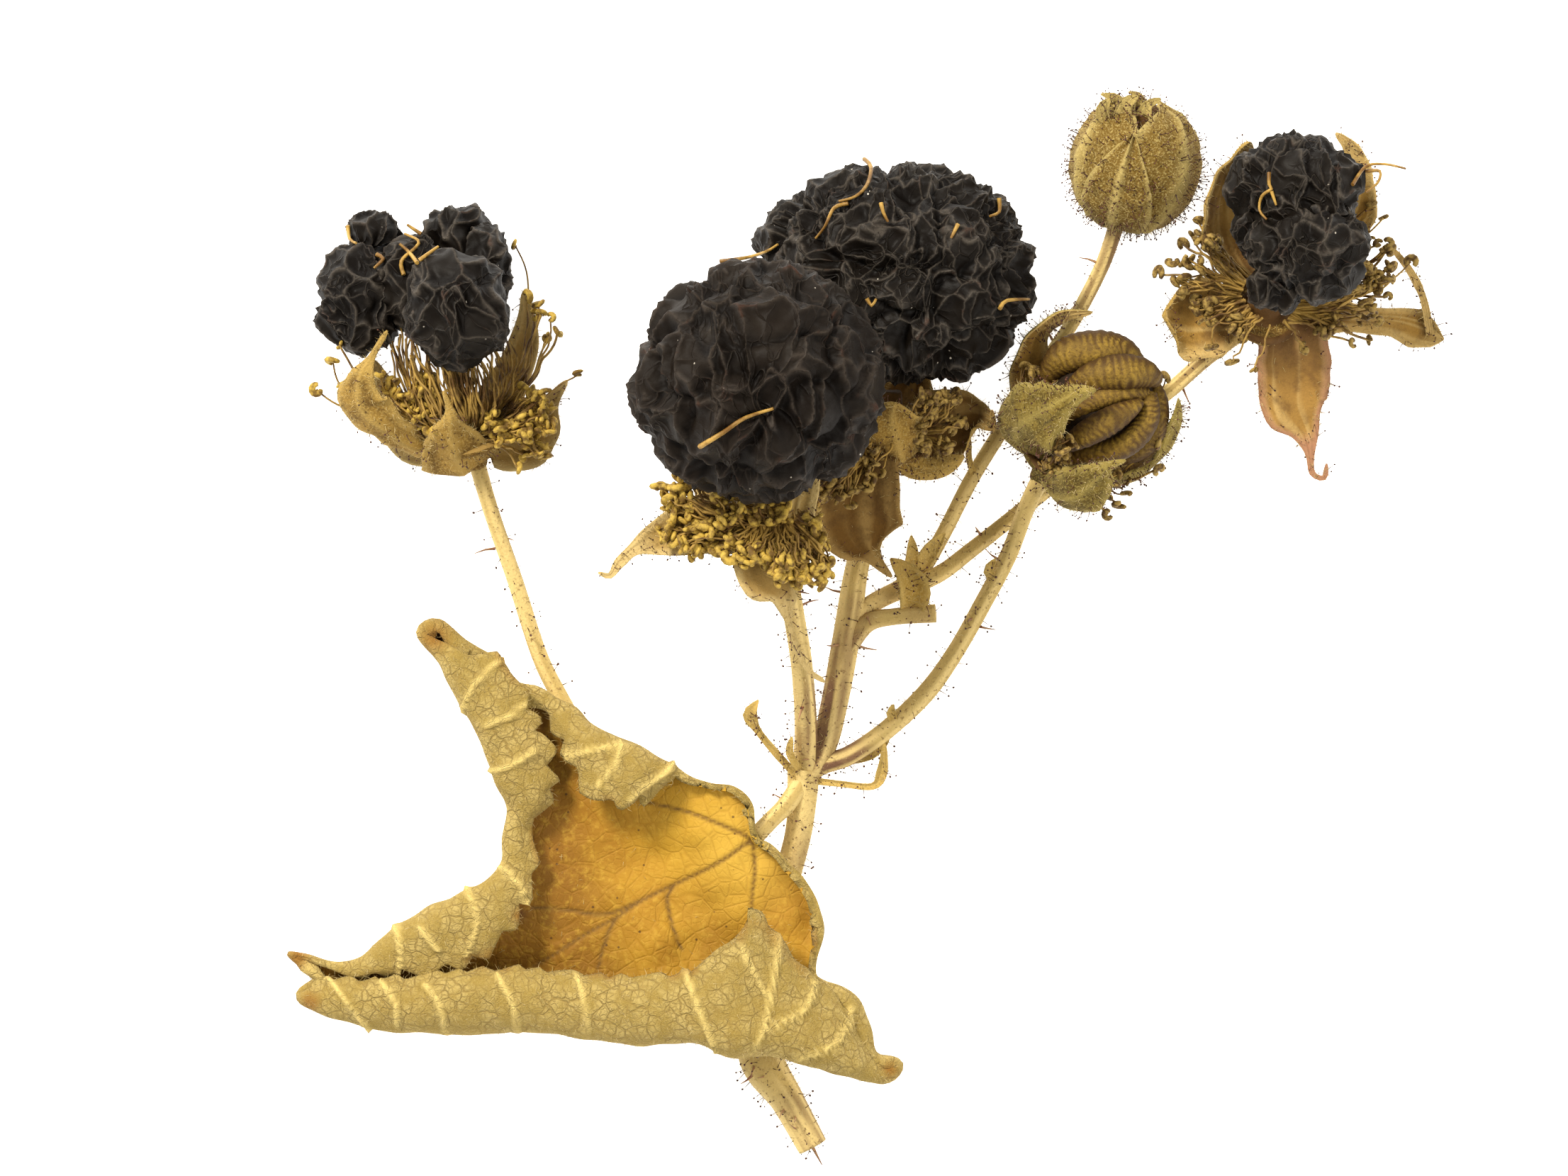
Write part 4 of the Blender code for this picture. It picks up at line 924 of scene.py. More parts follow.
def grid_rim(rows: int, columns: int) -> list[tuple[int, int]]:
    """The edges round an open grid, in order, as pairs of its points' numbers.

    Args:
        rows: How many rows the grid has.
        columns: How many points a row has.

    Returns:
        The pairs.
    """
    last = rows - 1
    loop = list(range(columns))
    loop += [i * columns + columns - 1 for i in range(1, last)]
    loop += [last * columns + j for j in reversed(range(columns))]
    loop += [i * columns for i in reversed(range(1, last))]
    return list(zip(loop, loop[1:] + loop[:1]))


def two_sided(sheet: Faces, rim: Iterable[tuple[int, int]], count: int) -> Faces:
    """The faces of a closed blade.

    Args:
        sheet: The faces of its first side.
        rim: The edges round the sheet.
        count: How many points a side has.

    Returns:
        The first side, the second side turned over, and the strip between them.
    """
    turned = [tuple(count + i for i in reversed(face)) for face in sheet]
    return sheet + turned + [(b, a, count + a, count + b) for a, b in rim]


def round_angles(sides: int) -> Array:
    """Even angles all the way round."""
    return 2 * math.pi * np.arange(sides) / sides


def directions(base: Place, towards: Place) -> tuple[Array, Array, Array]:
    """Directions across the line between two places, across it again and along it."""
    axis = unit(np.array(towards, float) - np.array(base, float))
    side = unit(np.array([1.0, 0.0, 0.0]) - axis * axis[0])
    return side, np.cross(axis, side), axis


def path_frames(centres: Array) -> tuple[Array, Array]:
    """Two directions across a path at each point, which turn as little as they can.

    Args:
        centres: The path's points.

    Returns:
        The two directions, one of each in a row.
    """
    ahead = unit(np.gradient(centres, axis=0))
    sides = np.empty_like(ahead)
    side = np.cross(ahead[0], (0.31, 0.17, 0.94))
    for i, way in enumerate(ahead):
        side = side - way * float(side @ way)
        side = side / np.linalg.norm(side)
        sides[i] = side
    return sides, np.cross(ahead, sides)


def tube(path: Array, sides: int, relief: Array | None = None, flat: float = 1.0) -> Shell:
    """A round or flattened body along a path, closed at both ends.

    Args:
        path: Points with their radius as the fourth value.
        sides: How many points go round it.
        relief: How far each point stands out, as a share of the radius, by row and side.
        flat: How deep it is, as a share of its width.

    Returns:
        The body, with its ends rounded off.
    """
    across, up = path_frames(path[:, :3])
    angles = round_angles(sides)[None, :, None]
    ring = across[:, None] * np.cos(angles) + flat * up[:, None] * np.sin(angles)
    reach = path[:, 3][:, None] * (1.0 if relief is None else relief)
    points = (path[:, None, :3] + ring * np.broadcast_to(reach, ring.shape[:2])[..., None]).reshape(-1, 3)
    rows = len(path)
    faces = grid_faces(rows, sides, True)
    faces.append(tuple(reversed(range(sides))))
    faces.append(tuple(range((rows - 1) * sides, rows * sides)))
    return Shell(points, faces)


@cache
def ball(detail: int) -> tuple[Array, Faces]:
    """The points and faces of a ball of radius 1 with even triangles.

    Args:
        detail: How often it is divided.

    Returns:
        The points and the faces.
    """
    made = bmesh.new()
    bmesh.ops.create_icosphere(made, subdivisions=detail, radius=1.0)
    made.verts.ensure_lookup_table()
    points = np.array([vert.co for vert in made.verts])
    faces = [tuple(vert.index for vert in face.verts) for face in made.faces]
    made.free()
    return unit(points), faces


def distance_to_lines(places: Array, lines: Sequence[Array]) -> tuple[Array, Array]:
    """How far each place lies from the nearest line, seen from above.

    Args:
        places: The places, with x and y first.
        lines: Lines of points x, y.

    Returns:
        The distance, and how far along its line the nearest point is, from 0 to 1.
    """
    best = np.full(len(places), 1e9)
    along = np.zeros(len(places))
    for line in lines:
        pieces = len(line) - 1
        for i in range(pieces):
            start, run = line[i][:2], (line[i + 1] - line[i])[:2]
            share = np.clip((places[:, :2] - start) @ run / max(float(run @ run), 1e-9), 0.0, 1.0)
            gap = np.linalg.norm(places[:, :2] - start - share[:, None] * run, axis=1)
            nearer = gap < best
            best[nearer] = gap[nearer]
            along[nearer] = ((i + share) / pieces)[nearer]
    return best, along


TREES: dict[str, GrowthTree] = {
    "hair": BristleTree(Bristle.HAIR),
    "gland": BristleTree(Bristle.GLAND),
    "thread": ThreadTree(),
    "copy": CopyTree(),
    "crumple": CrumpleTree(),
}


@dataclass(frozen=True)
class Coat:
    """One kind of bristle on a skin: how dense it stands, and how long and thick it is."""

    bristle: Bristle
    finish: Finish
    density: float  # for each square millimetre, where the skin's cover is 1
    shortest: float
    longest: float
    thickness: float  # as a share of its length
    bend: float
    lean: float
    head: float = 0.12

    def on(self, name: str, skin: Shell, slot: str, seed: int) -> None:
        """Grows the coat on a skin, as a piece of that name."""
        mesh = skin.grown(TREES[self.bristle.value], {
            "Density": self.density, "Shortest": self.shortest, "Longest": self.longest,
            "Thickness": self.thickness, "Bend": self.bend, "Lean": self.lean, "Head": self.head,
            "Seed": seed, "Material": self.finish.material(),
        })
        finished(name, mesh, [self.finish], slot)


CALYX_HAIRS = Coat(
    Bristle.HAIR, PALE_HAIR, density=11, shortest=0.10, longest=0.28, thickness=0.055, bend=0.5, lean=1.0,
)
BUD_HAIRS = replace(CALYX_HAIRS, longest=0.26)
LEAF_HAIRS = replace(CALYX_HAIRS, density=6, longest=0.30, thickness=0.045)
STEM_HAIRS = replace(LEAF_HAIRS, density=7, longest=0.32, bend=0.4, lean=0.9)
CALYX_GLANDS = Coat(
    Bristle.GLAND, GLAND, density=1.8, shortest=0.20, longest=0.44, thickness=0.06, bend=0.2, lean=0.6,
)
BUD_GLANDS = replace(CALYX_GLANDS, density=4.5, shortest=0.22, longest=0.46, thickness=0.07, head=0.10)
STEM_GLANDS = replace(CALYX_GLANDS, density=1.9, longest=0.50, thickness=0.05, bend=0.15, lean=0.5)
PRICKLES = Coat(
    Bristle.HAIR, PRICKLE, density=0.16, shortest=0.45, longest=0.95, thickness=0.10, bend=0.25, lean=0.35,
)


def threads(name: str, lines: Sequence[Array], finish: Finish, sides: int, slot: str) -> bpy.types.Object:
    """A piece of round threads.

    Args:
        name: The piece's name.
        lines: The threads' points, each with its radius as the fourth value.
        finish: Their finish.
        sides: How many sides a thread has.
        slot: The record's material slot.

    Returns:
        The piece.
    """
    edges, start = [], 0
    for line in lines:
        edges += [(start + i, start + i + 1) for i in range(len(line) - 1)]
        start += len(line)
    rows = np.concatenate(lines)
    guide = Shell(rows[:, :3], [], [], {"thick": rows[:, 3]}, edges)
    mesh = guide.grown(TREES["thread"], {"Sides": sides, "Material": finish.material()})
    return finished(name, mesh, [finish], slot)


# The berries


@dataclass
class Lobe:
    """One body of a berry: a solid with semi-axes across, along and up, turned about the vertical."""

    centre: Place
    semi_axes: Place
    turn: float = 0.0
    taper: float = 0.0  # how much wider it is at its +x end than at its middle
    seed: int = 0

    def body(self, detail: int, shrink: float) -> Shell:
        """The lobe's plain body.

        Args:
            detail: How finely it is divided.
            shrink: How far its skin lies under its full size.

        Returns:
            The body at its own middle, not turned yet.
        """
        points, faces = ball(detail)
        wider = 1 + self.taper * points[:, :1] * np.array([[0.0, 1.0, 0.0]])
        return Shell(points * (np.array(self.semi_axes) - shrink) * wider, faces)

    def placed(self, points: Array) -> Array:
        """Points of the lobe turned and moved to where it sits."""
        angle = math.radians(self.turn)
        cos, sin = math.cos(angle), math.sin(angle)
        return points @ np.array([[cos, sin, 0], [-sin, cos, 0], [0, 0, 1]]) + np.array(self.centre)


@dataclass
class Berry:
    """A dried berry: its lobes, how their skin is crumpled, and the dry styles left on it."""

    node: str
    lobes: list[Lobe]
    drupelet: float
    valley: float
    styles: list[list[tuple[float, float]]]
    detail: int = 6
    fold: tuple[float, float] = (1.15, 0.52)
    crease: float = 0.20
    warp: float = 1.8
    style_radius: float = 0.075
    style_gap: float = 0.06  # how far a style's middle lies above the skin
    shorten: float = 0.75  # how much closer together the folds look along the berry than across it
    finish: Finish = BERRY

    def skin(self) -> Shell:
        """The crumpled skin of all lobes, in millimetres."""
        return Shell.joined(self.lobe_skin(lobe) for lobe in self.lobes)

    def lobe_skin(self, lobe: Lobe) -> Shell:
        """The crumpled skin of one lobe.

        Args:
            lobe: The lobe.

        Returns:
            Its skin where it sits, with the values that the berry's finish reads.
        """
        body = lobe.body(self.detail, 0.75 * self.fold[1] + 0.5 * self.crease)
        mesh = body.grown(TREES["crumple"], {
            "Drupelet size": self.drupelet, "Valley depth": self.valley, "Fold size": self.fold[0],
            "Fold height": self.fold[1], "Crease height": self.crease,
            "Warp": self.warp, "Shorten": self.shorten, "Seed": lobe.seed,
            "Material": self.finish.material(),
        })
        count = len(mesh.vertices)
        places = np.empty(count * 3, np.float32)
        mesh.vertices.foreach_get("co", places)
        values = {}
        for label in ("valley", *SKIN_PLACE):
            values[label] = np.empty(count, np.float32)
            mesh.attributes[label].data.foreach_get("value", values[label])
        return Shell(lobe.placed(places.reshape(-1, 3)), body.faces, [], values)

    def style_lines(self, skin: Shell) -> list[Array]:
        """The styles as lines that lie on the skin.

        Args:
            skin: The berry's skin.

        Returns:
            A line for each style, with its radius as the fourth value.
        """
        lines = []
        for style in self.styles:
            line = smooth([(*place, 0.0) for place in style], 0.15)
            rows = []
            top = self.lobes[0].centre[2]
            for k, (x, y, _) in enumerate(line):
                near = np.hypot(skin.points[:, 0] - x, skin.points[:, 1] - y) < 0.2
                if near.any():
                    top = skin.points[near, 2].max()
                top += self.style_gap
                radius = self.style_radius * (1.15 - 0.5 * k / (len(line) - 1))
                rows.append((x, y, top, radius))
            rows = np.array(rows)
            rows[:, 2] = np.convolve(np.pad(rows[:, 2], 2, mode="edge"), np.ones(5) / 5, mode="valid")
            lines.append(rows)
        return lines

    def build(self) -> None:
        """Makes the berry's skin and its styles."""
        skin = self.skin()
        piece = finished(f"{self.node}_skin", skin.mesh(self.node), [self.finish], "dried_berry")
        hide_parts(self.node)
        if self.styles:
            threads(f"{self.node}_styles", self.style_lines(skin), STYLE, 6, "dried_berry")


BERRIES = [
    Berry("front_berry", [Lobe((-1.9, 16.9, 12.6), (5.6, 5.3, 5.3), seed=3)], 3.0, 0.6, [
        [(-4.4, 14.1), (-3.4, 14.7), (-2.5, 15.3), (-1.3, 15.7)],
    ], fold=(1.5, 0.60), crease=0.12, warp=1.6, style_radius=0.10, shorten=0.5, finish=BROWN_BERRY),
    Berry("back_berry", [Lobe((3.9, 21.9, 4.75), (6.3, 4.9, 5.1), -14, 0.16, seed=8)], 2.5, 0.7, [
        [(2.6, 26.6), (2.9, 26.2), (2.7, 25.4), (2.2, 24.9), (1.5, 24.7)],
        [(1.9, 24.6), (1.3, 24.4), (0.9, 23.6), (0.5, 23.1)],
        [(8.4, 20.1), (8.7, 20.45), (9.7, 20.55)],
        [(-3.6, 22.2), (-2.5, 22.35), (-1.6, 22.6), (-1.1, 22.9)],
        [(3.3, 24.6), (3.4, 24.2), (3.6, 23.8)], [(6.6, 23.7), (6.3, 23.1)],
        [(8.4, 24.9), (8.4, 24.3), (8.0, 24.1)], [(2.7, 20.5), (2.9, 20.2), (3.1, 20.5)],
    ], style_radius=0.085),
    Berry("left_berry", [
        Lobe((-16.6, 21.2, 3.9), (2.2, 2.2, 2.4), seed=21),
        Lobe((-14.9, 20.1, 6.4), (2.6, 2.8, 2.3), seed=22),
        Lobe((-19.2, 20.5, 3.8), (2.1, 2.6, 2.2), seed=23),
        Lobe((-18.6, 23.4, 1.7), (1.6, 1.3, 2.0), seed=24),
        Lobe((-15.0, 23.2, 2.2), (1.8, 1.9, 2.3), seed=25),
        Lobe((-13.7, 21.9, 3.4), (1.6, 2.3, 1.9), seed=26),
    ], 4.5, 0.35, [
        [(-17.2, 21.6), (-17.3, 22.2), (-16.7, 22.8), (-16.6, 23.1), (-17.2, 23.4)],
        [(-16.6, 22.1), (-17.0, 22.6), (-17.4, 22.95)], [(-16.5, 22.2), (-15.7, 22.8)],
        [(-19.7, 23.8), (-19.6, 23.2), (-19.3, 23.0)], [(-18.4, 22.5), (-18.1, 22.3), (-18.5, 21.9)],
        [(-16.5, 23.4), (-17.1, 23.8)],
    ], detail=5, fold=(1.5, 0.42), crease=0.22, warp=1.6, style_radius=0.085),
    Berry("right_berry", [
        Lobe((21.1, 25.3, 7.0), (3.1, 2.6, 2.5), seed=31),
        Lobe((21.7, 22.6, 8.0), (2.8, 2.5, 2.4), seed=32),
        Lobe((20.4, 21.1, 7.2), (1.5, 1.5, 1.7), seed=33),
        Lobe((19.7, 23.2, 7.0), (1.5, 1.6, 1.7), seed=34),
    ], 2.4, 0.42, [
        [(19.9, 25.9), (19.9, 25.4), (20.0, 25.2), (19.6, 24.9), (19.5, 24.3), (19.8, 23.9)],
        [(20.0, 25.1), (20.2, 24.5)], [(23.5, 25.4), (24.1, 26.2), (24.9, 26.3), (25.8, 26.1)],
        [(24.1, 26.0), (24.7, 26.0), (24.6, 25.5), (24.1, 25.1)],
    ], detail=5, fold=(1.2, 0.42), crease=0.16),
]


# Sepals, bracts and stamens


@dataclass
class Blade:
    """A sepal or bract, by the points (x, y, z, width) down its middle and the way its inside faces."""

    points: list[Knot]
    inside: Place = (0.0, 0.0, 1.0)
    hollow: float = 0.15  # how far its edges stand towards the inside, as a share of its width
    thickness: float = 0.22
    step: float = 0.22
    columns: int = 15
    wave: float = 0.11
    rag: float = 0.05  # how uneven its edge is, as a share of its width
    blush: float = 0.0  # how pink its margins are
    woolly: float = 0.45  # how wide its pale rim is
    rib_height: float = 0.07
    streak_height: float = 0.05

    def shell(self, seed: int) -> Shell:
        """The blade as a closed shell with a rib down its back and an uneven edge.

        Args:
            seed: What makes one blade's edge and waves differ from another's.

        Returns:
            The shell, with the values that the finishes of sepals read at its points.
        """
        path = smooth(self.points, self.step)
        rows = len(path)
        ahead = unit(np.gradient(path[:, :3], axis=0))
        side = unit(np.cross(ahead, np.array(self.inside)))
        inwards = np.cross(side, ahead)
        width = path[:, 3] - 0.26 * np.exp(-(path[:, 3] / 0.75) ** 2)
        width = width * np.sqrt(np.clip((rows - 0.7 - np.arange(rows)) * self.step / 0.45, 0.04, 1.0))
        across = np.linspace(-1.0, 1.0, self.columns)
        run = np.arange(rows) * self.step
        rag = 1 + self.rag * ripple(np.column_stack([run, np.zeros(rows)]), 1.1, seed)
        half = (width * rag)[:, None] / 2
        lift = self.hollow * width[:, None] * across ** 2
        side, inwards = side[:, None], inwards[:, None]
        middle = path[:, None, :3] + side * (half * across)[..., None] + inwards * lift[..., None]
        narrow = np.minimum(width, 1.0)[:, None]
        sway = narrow * ripple(middle.reshape(-1, 3), 2.0, seed + 1).reshape(rows, -1) * self.wave
        rib = np.broadcast_to(np.exp(-(across / 0.16) ** 2), (rows, self.columns))
        deep = self.thickness * (1 - 0.6 * across ** 2)[None] * np.minimum(width / 0.9, 1.0)[:, None]
        outer = middle + inwards * (sway - deep / 2 - self.rib_height * rib * narrow)[..., None]
        grain = np.column_stack([np.tile(2.0 * across, rows), np.repeat(0.1 * run, self.columns)])
        streak = ripple(grain, 0.8, seed + 2).reshape(rows, -1)
        inner = middle + inwards * (sway + deep / 2 + self.streak_height * streak * narrow)[..., None]
        edge = half * (1 - np.abs(across))
        tip = eased(width, 1.6, 0.7)[:, None]
        rim = np.maximum(eased(edge, self.woolly, 0.2 * self.woolly), tip).ravel()
        along = np.repeat(np.arange(rows) / (rows - 1), self.columns)
        count = rows * self.columns
        sheet = [tuple(reversed(face)) for face in grid_faces(rows, self.columns, False)]
        edges = [(b, a) for a, b in grid_rim(rows, self.columns)]
        faces = two_sided(sheet, edges, count)
        slots = [Side.OUTER.value] * len(sheet) + [Side.INNER.value] * len(sheet)
        slots += [Side.OUTER.value] * len(edges)
        cover = np.concatenate([1.0 + 3.0 * rim, 0.12 + 3.0 * rim])
        values = {
            "rim": np.tile(rim, 2), "along": np.tile(along, 2), "cover": cover,
            "rib": np.concatenate([rib.ravel(), np.zeros(count)]),
            "streak": np.tile(0.5 + 0.35 * streak.ravel(), 2),
            "blush": np.tile(self.blush * np.maximum(rim, 0.08), 2),
        }
        return Shell(np.concatenate([outer.reshape(-1, 3), inner.reshape(-1, 3)]), faces, slots, values)


ANTHER_CURL = 290.0  # how far round an anther's strip curls, in degrees
BUNCH_SPREAD = (0.36, 0.36, 0.28)  # how far the anthers of a bunch stray, as shares of its width


@dataclass
class Head:
    """A calyx with its stamens, round an axis from the end of a stalk towards the berry."""

    node: str
    base: Place
    towards: Place
    disc_at: float  # distances along the axis from the base
    collar_at: float
    core_end: float
    disc_radius: float
    sepals: list[Blade]
    anthers: list[Knot]  # their places, with the width of each bunch
    singles: list[tuple[float, float]] = field(default_factory=list)
    single_height: float = 4.2
    outside: Finish = SEPAL_FELT
    inside: Finish = SEPAL_INSIDE
    anther_finish: Finish = ANTHER
    seed: int = 1
    bunch: float = 10.0  # anthers in a bunch one wide
    core_radius: float = 0.85
    filament_radius: float = 0.055
    anther_size: float = 0.34
    glands: float = 1.8
    kink: float = 0.22
    strands: list[Knot] = field(default_factory=list)  # bunches of filaments without anthers

    def turned(self, profile: Sequence[tuple[float, float]], sides: int) -> Shell:
        """A body turned about the head's axis from heights and radii along it.

        Args:
            profile: The heights and radii.
            sides: How many points go round it.

        Returns:
            The body, covered with felt below the disc.
        """
        side, other, axis = directions(self.base, self.towards)
        rows = smooth(profile, 0.16, axes=2)
        angles = round_angles(sides)[:, None]
        around = side[None] * np.cos(angles) + other[None] * np.sin(angles)
        points = np.array(self.base) + rows[:, 0][:, None, None] * axis + rows[:, 1][:, None, None] * around
        flat = points.reshape(-1, 3)
        flat = flat + unit(flat - np.array(self.base)) * (0.06 * ripple(flat, 0.9, self.seed))[:, None]
        faces = grid_faces(len(rows), sides, True)
        faces += [tuple(reversed(range(sides))), tuple(range((len(rows) - 1) * sides, len(rows) * sides))]
        below = np.repeat(rows[:, 0] < self.disc_at, sides)
        slots = [Side.OUTER.value if below[max(face)] else Side.INNER.value for face in faces]
        return Shell(flat, faces, slots, {"cover": below.astype(float)})

    def calyx(self) -> Shell:
        """The cup at the stalk's end, the core that the berry sits on, and the sepals."""
        cup = self.turned([
            (-0.15, 0.36), (0.45 * self.disc_at, 0.66), (self.disc_at - 0.35, self.disc_radius),
            (self.disc_at, 0.96 * self.disc_radius), (self.disc_at + 0.08, self.core_radius),
            (self.core_end, 0.75 * self.core_radius),
        ], 28)
        blades = [blade.shell(self.seed * 31 + k) for k, blade in enumerate(self.sepals)]
        return Shell.joined([cup] + blades)

    def strewn(self, bunches: Sequence[Point], chance: np.random.Generator) -> list[Array]:
        """Places strewn in bunches (x, y, z, width).

        Args:
            bunches: The bunches.
            chance: What the places are drawn from.

        Returns:
            The places of each bunch.
        """
        found = []
        for x, y, z, width in bunches:
            count = max(1, round(self.bunch * width * width))
            spread = np.clip(chance.normal(size=(count, 3)), -1.3, 1.3) * width * np.array(BUNCH_SPREAD)
            found.append(np.array([x, y, z]) + (spread if count > 1 else 0 * spread))
        return found

    def anther_places(self) -> Array:
        """Where the anthers are, one in each row."""
        chance = np.random.default_rng(self.seed)
        found = self.strewn(self.anthers, chance)
        for x, y in self.singles:
            found.append(np.array([[x, y, self.single_height + chance.uniform(-0.5, 0.5)]]))
        return np.concatenate(found)

    def filaments(self, places: Array) -> list[Array]:
        """A bowed line from the collar to each anther.

        Args:
            places: Where the anthers are.

        Returns:
            The lines, each with its radius as the fourth value.
        """
        side, other, axis = directions(self.base, self.towards)
        chance = np.random.default_rng(self.seed + 100)
        base = np.array(self.base)
        lines = []
        for place in places:
            local = place - base
            angle = math.atan2(float(local @ other), float(local @ side)) + chance.normal() * 0.25
            out = side * math.cos(angle) + other * math.sin(angle)
            root = base + axis * (self.collar_at + chance.uniform(-0.1, 0.4))
            root = root + out * (self.core_radius + 0.35)
            run = place - root
            length = float(np.linalg.norm(run))
            bow = out * chance.uniform(0.1, 0.35) * length
            bow = bow + np.array([0, 0, chance.uniform(0.0, 0.2) * length])
            knots = [root, root + run * 0.35 + bow * 0.6, root + run * 0.72 + bow * 0.45, place]
            line = smooth(knots, 0.22)
            line = line + self.kinks(len(line), chance)
            radius = self.filament_radius * chance.uniform(0.75, 1.25) * np.linspace(1.15, 0.8, len(line))
            lines.append(np.column_stack([line, radius]))
        return lines

    def kinks(self, count: int, chance: np.random.Generator) -> Array:
        """How a dried filament strays from its bow at each of its points, more towards its end.

        Args:
            count: How many points it has.
            chance: What its waves are drawn from.

        Returns:
            How far each point is moved.
        """
        share = np.linspace(0.0, 1.0, count)
        strays = np.zeros((count, 3))
        for waves in (2.0, 3.6):
            turn = 2 * math.pi * (waves * share[:, None] + chance.uniform(size=(1, 3)))
            strays += np.sin(turn) * chance.uniform(0.4, 1.0, (1, 3)) / waves
        return self.kink * strays * np.sin(0.5 * math.pi * share)[:, None] * (1 - share[:, None] ** 8)

    def build(self) -> None:
        """Makes the calyx with its felt and glands, and the stamens with their anthers."""
        calyx = self.calyx()
        slot = "felted_sepal"
        piece = finished(f"{self.node}_sepals", calyx.mesh(self.node), [self.outside, self.inside], slot)
        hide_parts(self.node)
        CALYX_HAIRS.on(f"{self.node}_felt", calyx, slot, self.seed)
        replace(CALYX_GLANDS, density=self.glands).on(f"{self.node}_glands", calyx, slot, self.seed + 7)
        places = self.anther_places()
        bare = self.strewn(self.strands, np.random.default_rng(self.seed + 300))
        ends = np.concatenate([places, *bare])
        threads(f"{self.node}_filaments", self.filaments(ends), FILAMENT, 4, slot)
        self.anther_piece(places, slot)

    def anther_piece(self, places: Array, slot: str) -> None:
        """The anthers at their places, as one piece."""
        chance = np.random.default_rng(self.seed + 200)
        sizes = self.anther_size * chance.uniform(0.75, 1.25, len(places))
        mesh = Shell(places, [], [], {"size": sizes}).grown(TREES["copy"], {
            "Copied": anther_model(), "Seed": self.seed, "Material": self.anther_finish.material(),
        })
        finished(f"{self.node}_anthers", mesh, [self.anther_finish], slot)


@cache
def anther_model() -> bpy.types.Object:
    """A dried anther about 2 wide: a flattened strip that has curled round on itself."""
    share = np.linspace(0.0, 1.0, 10)
    angle = math.radians(ANTHER_CURL) * share
    width = 0.44 * np.sqrt(np.sin(math.pi * (0.10 + 0.80 * share)))
    path = np.column_stack([0.52 * np.cos(angle), 0.50 * np.sin(angle), 0.4 * share - 0.2, width])
    return linked("anther_model", tube(path, 7, flat=0.75).mesh("anther_model"))


